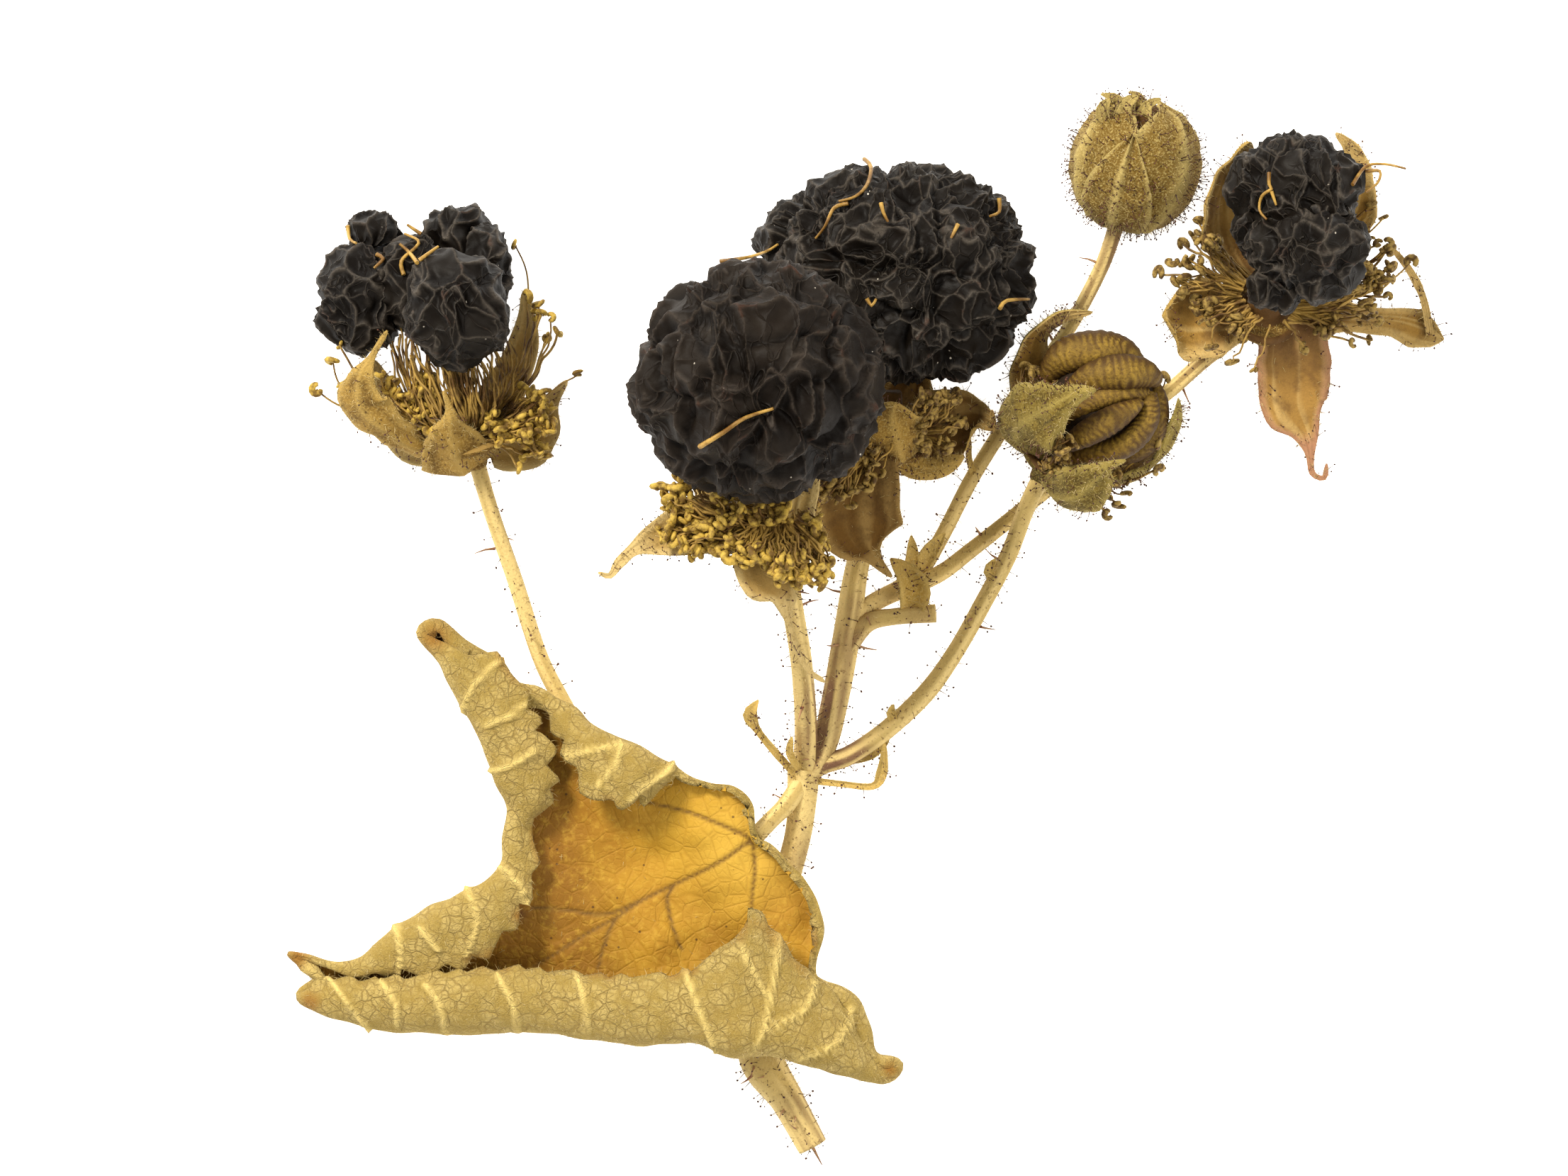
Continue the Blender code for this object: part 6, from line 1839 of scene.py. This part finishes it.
@dataclass
class RolledLeaf:
    """A hollow leaf whose edge is rolled up and over all the way round.

    Each station holds the folded edge (x, y), the end of the flap that is rolled in over the blade
    there (x, y), the height of the blade and the radius of the roll.
    """

    node: str = "leaf"
    stations: tuple = (
        (-2.1, -2.7, -2.5, -2.9, 3.2, 0.36), (-2.5, -1.3, -2.8, -1.6, 3.4, 0.36),
        (-3.1, -0.6, -3.3, -0.9, 3.4, 0.36), (-4.2, -0.4, -4.3, -0.8, 3.3, 0.40),
        (-5.8, 0.3, -6.1, -0.7, 3.1, 0.50), (-7.0, 1.1, -7.5, -1.1, 2.9, 0.80),
        (-8.1, 1.5, -9.0, -0.8, 2.7, 0.85), (-9.3, 2.1, -9.9, 0.5, 2.5, 0.80),
        (-10.1, 2.9, -10.5, 1.9, 2.4, 0.60), (-11.2, 3.6, -11.35, 3.05, 2.4, 0.40),
        (-12.4, 4.1, -12.6, 3.8, 2.5, 0.36), (-13.3, 5.0, -13.5, 4.7, 2.7, 0.36),
        (-14.7, 5.6, -14.8, 5.4, 3.0, 0.26), (-15.8, 6.5, -15.6, 6.2, 3.2, 0.14),
        (-16.5, 6.2, -16.1, 5.9, 3.3, 0.12), (-15.8, 5.3, -15.4, 5.5, 3.1, 0.34),
        (-15.4, 4.7, -14.5, 5.2, 2.9, 0.58), (-15.0, 3.7, -13.1, 5.0, 2.7, 0.74),
        (-14.4, 2.7, -12.3, 3.7, 2.6, 0.80), (-13.5, 1.0, -11.2, 1.5, 2.3, 0.85),
        (-13.2, -0.2, -11.0, 0.4, 2.2, 0.85), (-12.7, -1.4, -11.0, -0.8, 2.1, 0.75),
        (-12.9, -2.6, -11.9, -2.5, 2.0, 0.60), (-13.1, -3.8, -11.8, -4.4, 1.9, 0.65),
        (-14.4, -4.8, -12.7, -6.4, 1.7, 0.85), (-15.9, -5.7, -14.0, -7.7, 1.4, 0.90),
        (-17.5, -6.6, -16.3, -8.3, 1.1, 0.80), (-19.6, -8.2, -19.3, -8.5, 0.8, 0.40),
        (-22.3, -7.7, -21.9, -7.9, 0.8, 0.14), (-21.1, -8.8, -20.8, -8.9, 0.6, 0.26),
        (-21.8, -9.5, -21.4, -9.4, 0.6, 0.14), (-21.2, -10.0, -20.6, -8.9, 0.5, 0.45),
        (-18.8, -10.8, -18.7, -8.9, 0.4, 0.90), (-15.6, -11.0, -15.4, -8.6, 0.5, 1.30),
        (-12.5, -11.0, -12.5, -8.4, 0.9, 1.35), (-9.5, -11.3, -9.5, -8.6, 1.3, 1.38),
        (-6.9, -11.5, -7.0, -8.7, 1.8, 1.38), (-4.8, -11.5, -4.8, -8.4, 2.3, 1.38),
        (-3.0, -12.1, -2.5, -6.5, 2.5, 1.35), (-2.1, -12.1, -2.2, -5.7, 2.5, 1.30),
        (-0.7, -12.2, -1.2, -6.9, 2.4, 1.20), (0.7, -12.4, -0.3, -8.1, 2.3, 1.00),
        (2.2, -12.9, 1.3, -9.5, 2.1, 0.75), (3.4, -13.1, 3.1, -12.5, 1.9, 0.24),
        (4.1, -12.5, 3.7, -12.5, 1.9, 0.12), (3.0, -12.1, 2.7, -12.2, 1.9, 0.30),
        (2.2, -9.8, 1.9, -10.1, 2.1, 0.36), (0.8, -9.0, 0.6, -9.3, 2.2, 0.36),
        (0.4, -8.3, 0.1, -8.4, 2.4, 0.40), (0.5, -6.4, 0.1, -6.5, 2.5, 0.45),
        (0.1, -5.1, -0.2, -5.2, 2.7, 0.40), (-0.7, -4.0, -1.0, -4.2, 2.9, 0.36),
        (-1.6, -3.1, -1.9, -3.4, 3.1, 0.36),
    )
    hollow: tuple = (-7.4, -4.9, 1.75)  # the lowest place of the blade's middle: x, y and height
    edge_step: float = 0.18
    floor_step: float = 0.14
    plain_step: float = 1.3  # the distance between stations for which the blade's height is tuned
    thickness: float = 0.24
    roll_rows: int = 16
    flap_rows: int = 18
    vein_groove: float = 0.07  # how deep a vein lies in the upper side
    vein_height: float = 0.22  # how far it stands out of the felted side
    tooth: float = 1.25  # the length of a tooth of the margin, from one notch to the next
    tooth_rise: float = 0.72  # the share of a tooth that rises
    floor_veins: tuple = (
        ((-2.2, -2.7), (-3.5, -2.1), (-5.2, -1.5), (-7.2, -1.1)),
        ((-2.2, -2.7), (-3.8, -3.8), (-5.6, -4.7), (-7.0, -5.4), (-8.05, -6.1), (-9.5, -6.9), (-11.7, -8.3)),
        ((-2.2, -2.7), (-2.1, -4.0), (-2.2, -5.0), (-2.25, -5.9)),
        ((-7.0, -5.4), (-8.6, -6.0), (-10.2, -5.8), (-11.75, -5.7)),
        ((-5.6, -4.7), (-5.9, -5.2), (-5.7, -6.4), (-5.3, -7.5)),
        ((-8.05, -6.1), (-8.4, -6.7), (-8.7, -7.5), (-8.9, -8.4)),
    )
    flap_veins: tuple = (
        ((-1.5, -6.1), (-1.15, -7.1), (-1.3, -8.9), (-1.7, -10.8), (-2.25, -11.9)),
        ((-5.1, -8.4), (-4.4, -10.3), (-3.7, -11.7)), ((-9.8, -8.7), (-9.4, -9.9), (-9.4, -11.2)),
        ((-13.2, -8.7), (-12.5, -9.9), (-12.4, -11.1)), ((-16.3, -9.1), (-15.7, -9.8), (-15.5, -11.0)),
        ((-18.25, -9.0), (-17.55, -9.9), (-17.6, -10.7)),
        ((-21.6, -8.2), (-20.5, -8.9), (-19.3, -10.3), (-18.8, -10.8)), ((-2.6, -7.5), (-1.55, -9.5)),
        ((0.4, -8.9), (-0.1, -10.1), (-1.9, -11.0)), ((2.0, -10.1), (1.3, -11.5), (-0.3, -12.1)),
        ((-17.55, -6.7), (-17.4, -7.8), (-17.6, -8.7)), ((-14.5, -4.9), (-14.1, -6.25), (-14.6, -7.7)),
        ((-16.5, -6.6), (-15.8, -7.5)), ((-13.0, -4.0), (-12.3, -4.7), (-11.9, -5.55)),
        ((-13.0, 5.1), (-14.2, 3.95), (-14.6, 2.8)), ((-12.1, 3.1), (-13.0, 2.45), (-13.9, 2.3)),
        ((-11.6, 1.1), (-12.6, 0.5), (-13.3, 0.25)), ((-10.25, 0.9), (-9.1, 1.1), (-7.9, 1.3)),
        ((-7.9, 1.2), (-8.2, 0.4), (-9.0, -0.5)), ((-5.8, 0.25), (-6.8, -0.3), (-7.5, -1.0)),
    )

    scorched: tuple = (  # brown spots, by x, y and reach
        (-15.9, 6.0, 0.55), (-21.9, -7.9, 0.45), (-21.3, -9.8, 0.35), (3.7, -12.7, 0.3),
        (-12.3, -6.0, 0.3), (-13.0, 5.0, 0.25),
    )

    def sections(self) -> tuple[Array, Array]:
        """The blade's middle round its edge.

        Returns:
            Its points by row and station, from the foot of the roll out to the flap's end, and how
            far each row is turned: 0 at the foot, 1 at the top of the roll and 2 at the flap's end.
        """
        round_ = smooth(self.stations, self.edge_step, closed=True, axes=2)
        edge, end, height, radius = round_[:, :2], round_[:, 2:4], round_[:, 4], round_[:, 5]
        reach = np.linalg.norm(end - edge, axis=1)
        inwards = (end - edge) / reach[:, None]
        past = np.maximum(reach - radius, 0.2)
        flap = np.linspace(1, 2, self.flap_rows + 1)[1:]
        turns = np.concatenate([np.linspace(0, 1, self.roll_rows), flap])
        teeth = self.teeth(edge)
        rows = []
        upright = eased(edge[:, 0], -7.5, -5.5) * eased(edge[:, 1], -9.6, -8.4) * eased(radius, 0.6, 0.4)
        curl = math.pi * (1 - 0.5 * upright)
        for turn in turns:
            angle = curl * min(turn, 1.0)
            share = max(turn - 1, 0.0)
            run = past * share + teeth * share ** 4
            out = radius * (1 - np.sin(angle)) - np.cos(angle) * run
            up = radius * (1 - np.cos(angle)) + 0.5 * np.sin(angle) * run
            up -= radius * 0.45 * share ** 2.6 * (curl / math.pi) ** 4
            rows.append(np.column_stack([edge + inwards * out[:, None], height + up]))
        return np.array(rows), turns

    def teeth(self, edge: Array) -> Array:
        """How far the toothed margin stands out, by station.

        Args:
            edge: The folded edge's points.

        Returns:
            The teeth's reach, less than 0 in the notches.
        """
        run = np.concatenate([[0.0], np.cumsum(np.linalg.norm(np.diff(edge, axis=0), axis=1))])
        phase = (run / self.tooth + 0.18 * np.sin(run * 1.9)) % 1.0
        rise = self.tooth_rise
        tooth = np.where(phase < rise, phase / rise, (1 - phase) / (1 - rise))
        shown = np.where(edge[:, 1] > -7.5, 0.6, 0.25)
        return shown * (tooth - 0.3)

    def floor(self, feet: Array) -> tuple[Array, Faces, list[int]]:
        """The blade inside the feet of the roll.

        Args:
            feet: The points of the feet, in order round the leaf.

        Returns:
            Points, triangles between them, and the number of each foot among the points.
        """
        low, high = feet.min(axis=0), feet.max(axis=0)
        ys = np.arange(low[1], high[1], self.floor_step * 0.87)
        xs = np.arange(low[0], high[0], self.floor_step)
        grid = np.array([(x + 0.5 * self.floor_step * (k % 2), y) for k, y in enumerate(ys) for x in xs])
        grid = grid[self.inside(grid, feet)]
        gap = np.min([np.hypot(grid[:, 0] - f[0], grid[:, 1] - f[1]) for f in feet], axis=0)
        grid = grid[gap > 0.7 * self.floor_step]
        count = len(feet)
        flat = [Vector(foot[:2]) for foot in feet] + [Vector(place) for place in grid]
        cut = delaunay_2d_cdt(flat, [], [list(range(count))], 1, 1e-5)
        places, triangles, origins = cut[0], cut[2], cut[3]
        points = np.array([(p.x, p.y, 0.0) for p in places])
        points[:, 2] = self.floor_height(points, feet)
        row = [0] * count
        for number, origin in enumerate(origins):
            for k in origin:
                if k < count:
                    row[k] = number
                    points[number] = feet[k]
        return points, [tuple(triangle) for triangle in triangles], row

    def inside(self, places: Array, loop: Array) -> Array:
        """Whether each place lies inside a closed loop, seen from above.

        Args:
            places: The places.
            loop: The loop's points.

        Returns:
            True for each place inside.
        """
        found = np.zeros(len(places), bool)
        for point, other in zip(loop, np.roll(loop, 1, axis=0)):
            if point[1] == other[1]:
                continue
            between = (point[1] > places[:, 1]) != (other[1] > places[:, 1])
            crossing = point[0] + (places[:, 1] - point[1]) * (other[0] - point[0]) / (other[1] - point[1])
            found ^= between & (places[:, 0] < crossing)
        return found

    def floor_height(self, places: Array, feet: Array) -> Array:
        """The height of the blade's middle, from its hollow and the feet of the roll.

        Args:
            places: Where it is wanted.
            feet: The points of the feet.

        Returns:
            The heights.
        """
        hollow = 1.5 / (((places[:, :2] - np.array(self.hollow[:2])) ** 2).sum(axis=1) + 0.5)
        share = self.edge_step / self.plain_step
        weights = hollow.copy()
        total = hollow * self.hollow[2]
        for foot in feet:
            near = share / (((places[:, :2] - foot[:2]) ** 2).sum(axis=1) + 0.01) ** 1.5
            weights += near
            total += near * foot[2]
        return total / weights

    def veins(self, points: Array, turn: Array) -> Array:
        """How strongly a vein shows at each point, from 0 to 1.

        Args:
            points: The blade's points.
            turn: How far each is turned, as sections says.

        Returns:
            The strengths.
        """
        shown = np.zeros(len(points))
        for veins, share, width in (
            (self.floor_veins, eased(turn, 0.5, 0.3), 0.075),
            (self.flap_veins, eased(turn, 0.2, 0.5), 0.095),
        ):
            lines = [smooth([(*place, 0.0) for place in vein], 0.4) for vein in veins]
            gap, along = distance_to_lines(points, lines)
            shown = np.maximum(shown, share * np.exp(-(gap / (width * (1.25 - 0.5 * along))) ** 2))
        return shown

    def shell(self) -> Shell:
        """The leaf as a closed shell, with its veins raised on the felted side."""
        rows, turns = self.sections()
        points, faces, row = self.floor(rows[0])
        turn = [np.zeros(len(points))]
        sheet = [points]
        count, start = rows.shape[1], len(points)
        for j in range(1, len(rows)):
            following = list(range(start, start + count))
            sheet.append(rows[j])
            turn.append(np.full(count, turns[j]))
            for k in range(count):
                after = (k + 1) % count
                faces.append((row[k], following[k], following[after], row[after]))
            row, start = following, start + count
        middle, turn = np.concatenate(sheet), np.concatenate(turn)
        normals = self.normals(middle, faces)
        vein = self.veins(middle, turn)
        swell = 0.05 * ripple(middle, 1.3, 91) + 0.12 * ripple(middle, 4.5, 92) * eased(turn, 2.0, 1.4)
        middle = middle + normals * swell[:, None]
        upper = middle + normals * (self.thickness / 2 - self.vein_groove * vein)[:, None]
        lower = middle - normals * (self.thickness / 2 + self.vein_height * vein)[:, None]
        both = two_sided(faces, zip(row, row[1:] + row[:1]), len(middle))
        slots = [Side.INNER.value] * len(faces) + [Side.OUTER.value] * (len(both) - len(faces))
        rim = eased(turn, 1.75, 2.0)
        scorch = self.scorch(middle, rim)
        # painted light: the blade is paler round the stalk
        glow = np.exp(-(np.hypot(middle[:, 0] + 2.6, middle[:, 1] + 3.2) / 2.6) ** 2)
        # painted shadow: darker on the blade's left, next to the roll
        shade = 0.9 * eased(middle[:, 0] + 0.3 * middle[:, 1], -8.4, -12.0)
        values = {
            "vein": np.tile(vein, 2), "scorch": np.tile(scorch, 2), "glow": np.tile(glow, 2),
            "shade": np.tile(shade, 2),
            "cover": np.concatenate([0.10 + 1.5 * rim, 1.0 + 3.0 * rim]),
        }
        return Shell(np.concatenate([upper, lower]), both, slots, values)

    def scorch(self, places: Array, rim: Array) -> Array:
        """How brown each place is: the tips of the lobes and, here and there, the margin.

        Args:
            places: The places.
            rim: How near the margin each lies.

        Returns:
            The shares, from 0 to 1.
        """
        found = 0.5 * rim * eased(ripple(places, 2.5, 93), 0.2, 0.9)
        for x, y, reach in self.scorched:
            gap = np.hypot(places[:, 0] - x, places[:, 1] - y)
            found = np.maximum(found, np.exp(-(gap / reach) ** 2))
        return found

    def normals(self, points: Array, faces: Faces) -> Array:
        """The normal at each point, from the faces round it.

        Args:
            points: The points.
            faces: Faces of three or four points.

        Returns:
            The normals.
        """
        total = np.zeros_like(points)
        for size in (3, 4):
            chosen = np.array([face for face in faces if len(face) == size])
            if len(chosen):
                across = np.cross(points[chosen[:, 2]] - points[chosen[:, 0]],
                                  points[chosen[:, -1]] - points[chosen[:, 1]])
                for column in range(size):
                    np.add.at(total, chosen[:, column], across)
        return unit(total)

    def build(self) -> None:
        """Makes the leaf and its hairs."""
        leaf = self.shell()
        finishes = [LEAF_FELT, LEAF_INSIDE]
        piece = finished(f"{self.node}_blade", leaf.mesh(self.node), finishes, "ochre_leaf")
        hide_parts(self.node)
        LEAF_HAIRS.on(f"{self.node}_hairs", leaf, "ochre_leaf", 51)


# The cane


@dataclass
class Cane:
    """The cane with its stalks, stipules, prickles, hairs and stalked glands.

    Each stem is a list of points (x, y, z, radius) from its root to its end.
    """

    node: str = "cane"
    stems: tuple = (
        ((0.4, -16.1, 0.55, 0.66), (-0.7, -14.1, 0.68, 0.72), (-1.9, -12.1, 0.95, 0.95),
         (-1.9, -9.4, 0.95, 0.66), (-1.0, -5.4, 1.05, 0.60), (-0.2, -2.4, 1.2, 0.58),
         (0.05, 0.3, 1.45, 0.72)),
        ((-1.9, -12.1, 0.9, 0.62), (-4.1, -8.5, 0.6, 0.44), (-6.6, -4.1, 0.55, 0.40), (-9.0, 0.3, 0.6, 0.38),
         (-10.3, 2.9, 0.7, 0.37), (-11.4, 5.1, 0.9, 0.36), (-12.5, 8.5, 1.4, 0.34),
         (-13.5, 11.4, 1.9, 0.32),
         (-14.1, 13.4, 2.5, 0.34)),
        ((0.2, 0.15, 1.5, 0.44), (-0.7, -1.2, 2.0, 0.40), (-1.4, -1.9, 2.5, 0.38), (-2.1, -2.6, 3.1, 0.40)),
        ((0.05, -0.25, 1.2, 0.55), (0.1, 2.0, 2.6, 0.48), (-0.1, 4.7, 4.9, 0.46), (-0.4, 6.8, 6.9, 0.44),
         (-0.7, 8.7, 8.4, 0.46)),
        ((-0.15, -0.35, 1.35, 0.60), (0.8, 1.2, 1.6, 0.58), (1.3, 3.1, 1.9, 0.58), (1.9, 6.4, 2.3, 0.58),
         (2.3, 8.9, 2.7, 0.52), (2.9, 11.0, 3.0, 0.46), (3.4, 12.6, 3.4, 0.46)),
        ((1.8, 5.4, 2.2, 0.42), (2.7, 6.6, 2.5, 0.42), (3.9, 6.9, 2.7, 0.36), (5.7, 7.05, 2.9, 0.40)),
        ((2.1, 6.8, 2.3, 0.44), (3.0, 7.5, 2.2, 0.40), (4.2, 8.1, 1.9, 0.42)),
        ((4.0, 8.0, 2.0, 0.40), (5.1, 8.9, 1.7, 0.34), (6.0, 10.4, 1.4, 0.33), (7.3, 12.9, 1.1, 0.33),
         (8.8, 15.3, 0.9, 0.32), (10.3, 17.6, 0.9, 0.31), (11.7, 19.7, 1.3, 0.31), (12.9, 22.0, 1.8, 0.32),
         (13.5, 23.7, 2.5, 0.34)),
        ((4.0, 8.0, 2.0, 0.40), (5.8, 8.7, 1.6, 0.36), (7.3, 9.8, 1.2, 0.34), (9.7, 11.7, 0.9, 0.33),
         (12.7, 14.1, 0.75, 0.33), (15.8, 16.6, 1.0, 0.33), (17.5, 18.1, 1.4, 0.34),
         (19.4, 19.55, 2.15, 0.38)),
        ((-0.25, -0.1, 1.45, 0.50), (0.8, 0.5, 1.5, 0.46), (2.0, 0.9, 1.6, 0.43), (3.6, 2.0, 1.6, 0.42),
         (5.3, 3.6, 1.7, 0.42), (6.6, 5.4, 1.9, 0.38), (7.8, 7.5, 2.1, 0.38), (8.9, 9.6, 2.4, 0.38),
         (9.6, 11.5, 2.9, 0.38), (10.2, 12.8, 3.5, 0.40)),
    )
    stipules: tuple = (
        ((-0.2, -0.1, 1.9, 0.5), (-1.2, 1.0, 2.6, 0.5), (-2.0, 2.0, 3.1, 0.5), (-2.3, 2.7, 3.4, 0.7),
         (-1.95, 3.3, 3.7, 0.42)),
        ((0.3, -0.2, 1.6, 0.5), (1.6, -0.35, 1.7, 0.45), (3.0, -0.45, 1.8, 0.5), (3.4, 0.2, 2.1, 0.6),
         (3.5, 1.4, 2.6, 0.42)),
        ((-0.2, 0.3, 2.2, 0.5), (-0.6, 1.0, 2.8, 0.5), (-0.5, 1.7, 3.3, 0.42)),
        ((4.6, 7.0, 2.7, 0.9), (4.8, 8.0, 3.3, 1.3), (4.4, 8.8, 3.3, 1.0), (3.75, 9.4, 3.0, 0.42)),
        ((4.5, 8.3, 1.9, 0.6), (4.7, 9.4, 2.6, 0.7), (4.65, 10.4, 3.0, 0.42)),
        ((5.0, 8.7, 2.0, 0.6), (5.4, 9.6, 2.4, 0.8), (6.1, 10.5, 2.2, 0.42)),
        ((7.4, 13.0, 1.2, 0.5), (7.15, 13.8, 1.7, 0.45), (7.2, 14.6, 2.0, 0.42)),
        ((8.3, 8.4, 2.3, 0.5), (8.0, 8.9, 2.6, 0.6), (8.3, 9.4, 2.8, 0.42)),
        ((3.9, 2.3, 1.7, 0.5), (3.8, 2.8, 2.1, 0.6), (3.9, 3.1, 2.3, 0.42)),
        ((1.8, 0.6, 1.5, 0.5), (3.0, 0.9, 1.4, 0.5), (3.7, 1.6, 1.5, 0.42)),
    )
    blushes: tuple = (  # reddened stretches, by x, y, reach and strength
        (13.2, 22.9, 1.3, 0.75), (12.2, 20.8, 1.2, 0.5), (0.9, 1.6, 1.2, 0.9), (1.3, 3.3, 1.4, 0.95),
        (1.8, 5.4, 1.3, 0.75), (2.4, 7.2, 0.8, 0.5), (1.2, 0.65, 0.9, 1.0), (2.1, 1.0, 0.8, 0.9),
        (-0.2, -14.6, 1.0, 0.55), (0.3, -15.8, 0.8, 0.6), (-0.5, -3.2, 1.0, 0.45),
        (-0.9, -4.9, 1.0, 0.35), (17.6, 18.2, 2.0, 0.55), (5.0, 7.0, 0.7, 0.25), (3.3, 7.7, 0.6, 0.4),
    )
    sides: int = 22
    step: float = 0.2
    ribs: int = 5

    def stem(self, number: int) -> Shell:
        """One stem, ribbed and a little uneven, with its streaks and its reddened stretches.

        Args:
            number: Which stem it is.

        Returns:
            The stem, closed at both ends.
        """
        path = smooth(self.stems[number], self.step)
        rows = len(path)
        along = np.arange(rows) * self.step
        twist = round_angles(self.sides)[None] + 0.05 * along[:, None]
        far = np.broadcast_to(0.10 * along[:, None], twist.shape)
        where = np.stack([far, np.cos(twist), np.sin(twist)], -1)
        streak = ripple(where.reshape(-1, 3), 0.9, 300 + number).reshape(rows, -1)
        relief = 1 + 0.045 * np.cos(self.ribs * twist) + 0.035 * streak
        shell = tube(path, self.sides, relief)
        count = len(shell.points)
        blush = np.zeros(count)
        for x, y, reach, strength in self.blushes:
            gap = np.hypot(shell.points[:, 0] - x, shell.points[:, 1] - y)
            blush = np.maximum(blush, strength * np.exp(-(gap / reach) ** 4))
        shell.values = {
            "streak": 0.5 + 0.4 * streak.ravel(), "blush": blush, "cover": np.ones(count),
        }
        return shell

    def build(self) -> None:
        """Makes the stems and bracts with what grows on them."""
        slot = "straw_stem"
        stems = Shell.joined(self.stem(k) for k in range(len(self.stems)))
        piece = finished(f"{self.node}_stems", stems.mesh(self.node), [STEM], slot)
        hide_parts(self.node)
        bracts = Shell.joined(
            Blade(list(points), thickness=0.18, columns=9, hollow=0.3).shell(400 + k)
            for k, points in enumerate(self.stipules)
        )
        finished(f"{self.node}_bracts", bracts.mesh("bracts"), [BRACT_FELT, BRACT_FELT], slot)
        skin = Shell.joined([stems, bracts])
        STEM_HAIRS.on(f"{self.node}_hairs", skin, slot, 61)
        STEM_GLANDS.on(f"{self.node}_glands", skin, slot, 62)
        PRICKLES.on(f"{self.node}_prickles", stems, slot, 63)


# The setting


@dataclass
class Studio:
    """A pale floor, soft light from all round and a camera that looks straight down."""

    floor_half: float = 0.6
    floor_gap: float = 0.00002  # how far the floor lies under the sprig's lowest place
    floor_colour: Colour = (0.93, 0.93, 0.93)
    floor_glow: float = 0.9
    sky: float = 0.62
    sky_colour: Colour = (1.0, 0.97, 0.92)
    lamp_colour: Colour = (1.0, 0.94, 0.84)
    key: tuple[Place, float, float] = ((-0.22, 0.24, 0.30), 0.10, 2.6)  # a lamp's place, size and watts
    fill: tuple[Place, float, float] = ((0.25, -0.05, 0.30), 0.25, 0.8)

    def floor(self) -> None:
        """The floor, just under the sprig."""
        made = bpy.data.materials.new("pale_floor")
        made.use_nodes = True
        skin = made.node_tree.nodes["Principled BSDF"]
        skin.inputs["Base Color"].default_value = (*self.floor_colour, 1.0)
        skin.inputs["Roughness"].default_value = 0.9
        skin.inputs["Emission Color"].default_value = (1.0, 1.0, 1.0, 1.0)
        skin.inputs["Emission Strength"].default_value = self.floor_glow
        half = self.floor_half
        mesh = bpy.data.meshes.new("floor")
        corners = [(-half, -half, 0), (half, -half, 0), (half, half, 0), (-half, half, 0)]
        mesh.from_pydata(corners, [], [(0, 1, 2, 3)])
        mesh.materials.append(made)
        floor = linked("floor", mesh)
        floor.location.z = -self.floor_gap

    def lamp(self, name: str, place: Place, size: float, watts: float) -> None:
        """A square soft light that faces the sprig.

        Args:
            name: Its name.
            place: Where it stands.
            size: Its width.
            watts: Its power.
        """
        light = bpy.data.lights.new(name, "AREA")
        light.size = size
        light.energy = watts
        light.color = self.lamp_colour
        made = linked(name, light)
        made.location = place
        made.rotation_euler = (-Vector(place)).to_track_quat("-Z", "Y").to_euler()

    def camera(self) -> None:
        """The camera, at the photograph's angle and scale."""
        middle = np.array([
            (PHOTO_WIDTH / 2 - NODE_PIXEL[0]) / PIXELS_PER_MM,
            (NODE_PIXEL[1] - PHOTO_HEIGHT / 2) / PIXELS_PER_MM,
            CAMERA_HEIGHT,
        ])
        data = bpy.data.cameras.new("camera")
        data.sensor_width = SENSOR_WIDTH
        data.lens = SENSOR_WIDTH * (CAMERA_HEIGHT - 3.0) / (PHOTO_WIDTH / PIXELS_PER_MM)
        data.clip_start = 0.01
        made = linked("camera", data)
        made.location = middle * MM + MAIN_NODE
        bpy.context.scene.camera = made

    def build(self) -> None:
        """Makes the floor, the light and the camera."""
        self.floor()
        world = bpy.data.worlds.new("sky")
        world.use_nodes = True
        world.node_tree.nodes["Background"].inputs["Color"].default_value = (*self.sky_colour, 1.0)
        world.node_tree.nodes["Background"].inputs["Strength"].default_value = self.sky
        bpy.context.scene.world = world
        bpy.context.scene.view_settings.view_transform = "Standard"
        self.lamp("key", *self.key)
        self.lamp("fill", *self.fill)
        self.camera()


def write_sizes() -> None:
    """Brings the view layer up to date."""
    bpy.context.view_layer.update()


def main() -> None:
    """Builds the sprig's pieces in order, and then the setting."""
    logging.basicConfig(level=logging.INFO, format="%(message)s")
    for part in [Cane(), RolledLeaf(), ClosedBud(), PetalBud(), *HEADS, *BERRIES]:
        part.build()
    bpy.data.objects.remove(anther_model())
    Studio().build()
    write_sizes()


if __name__ == "__main__":
    main()
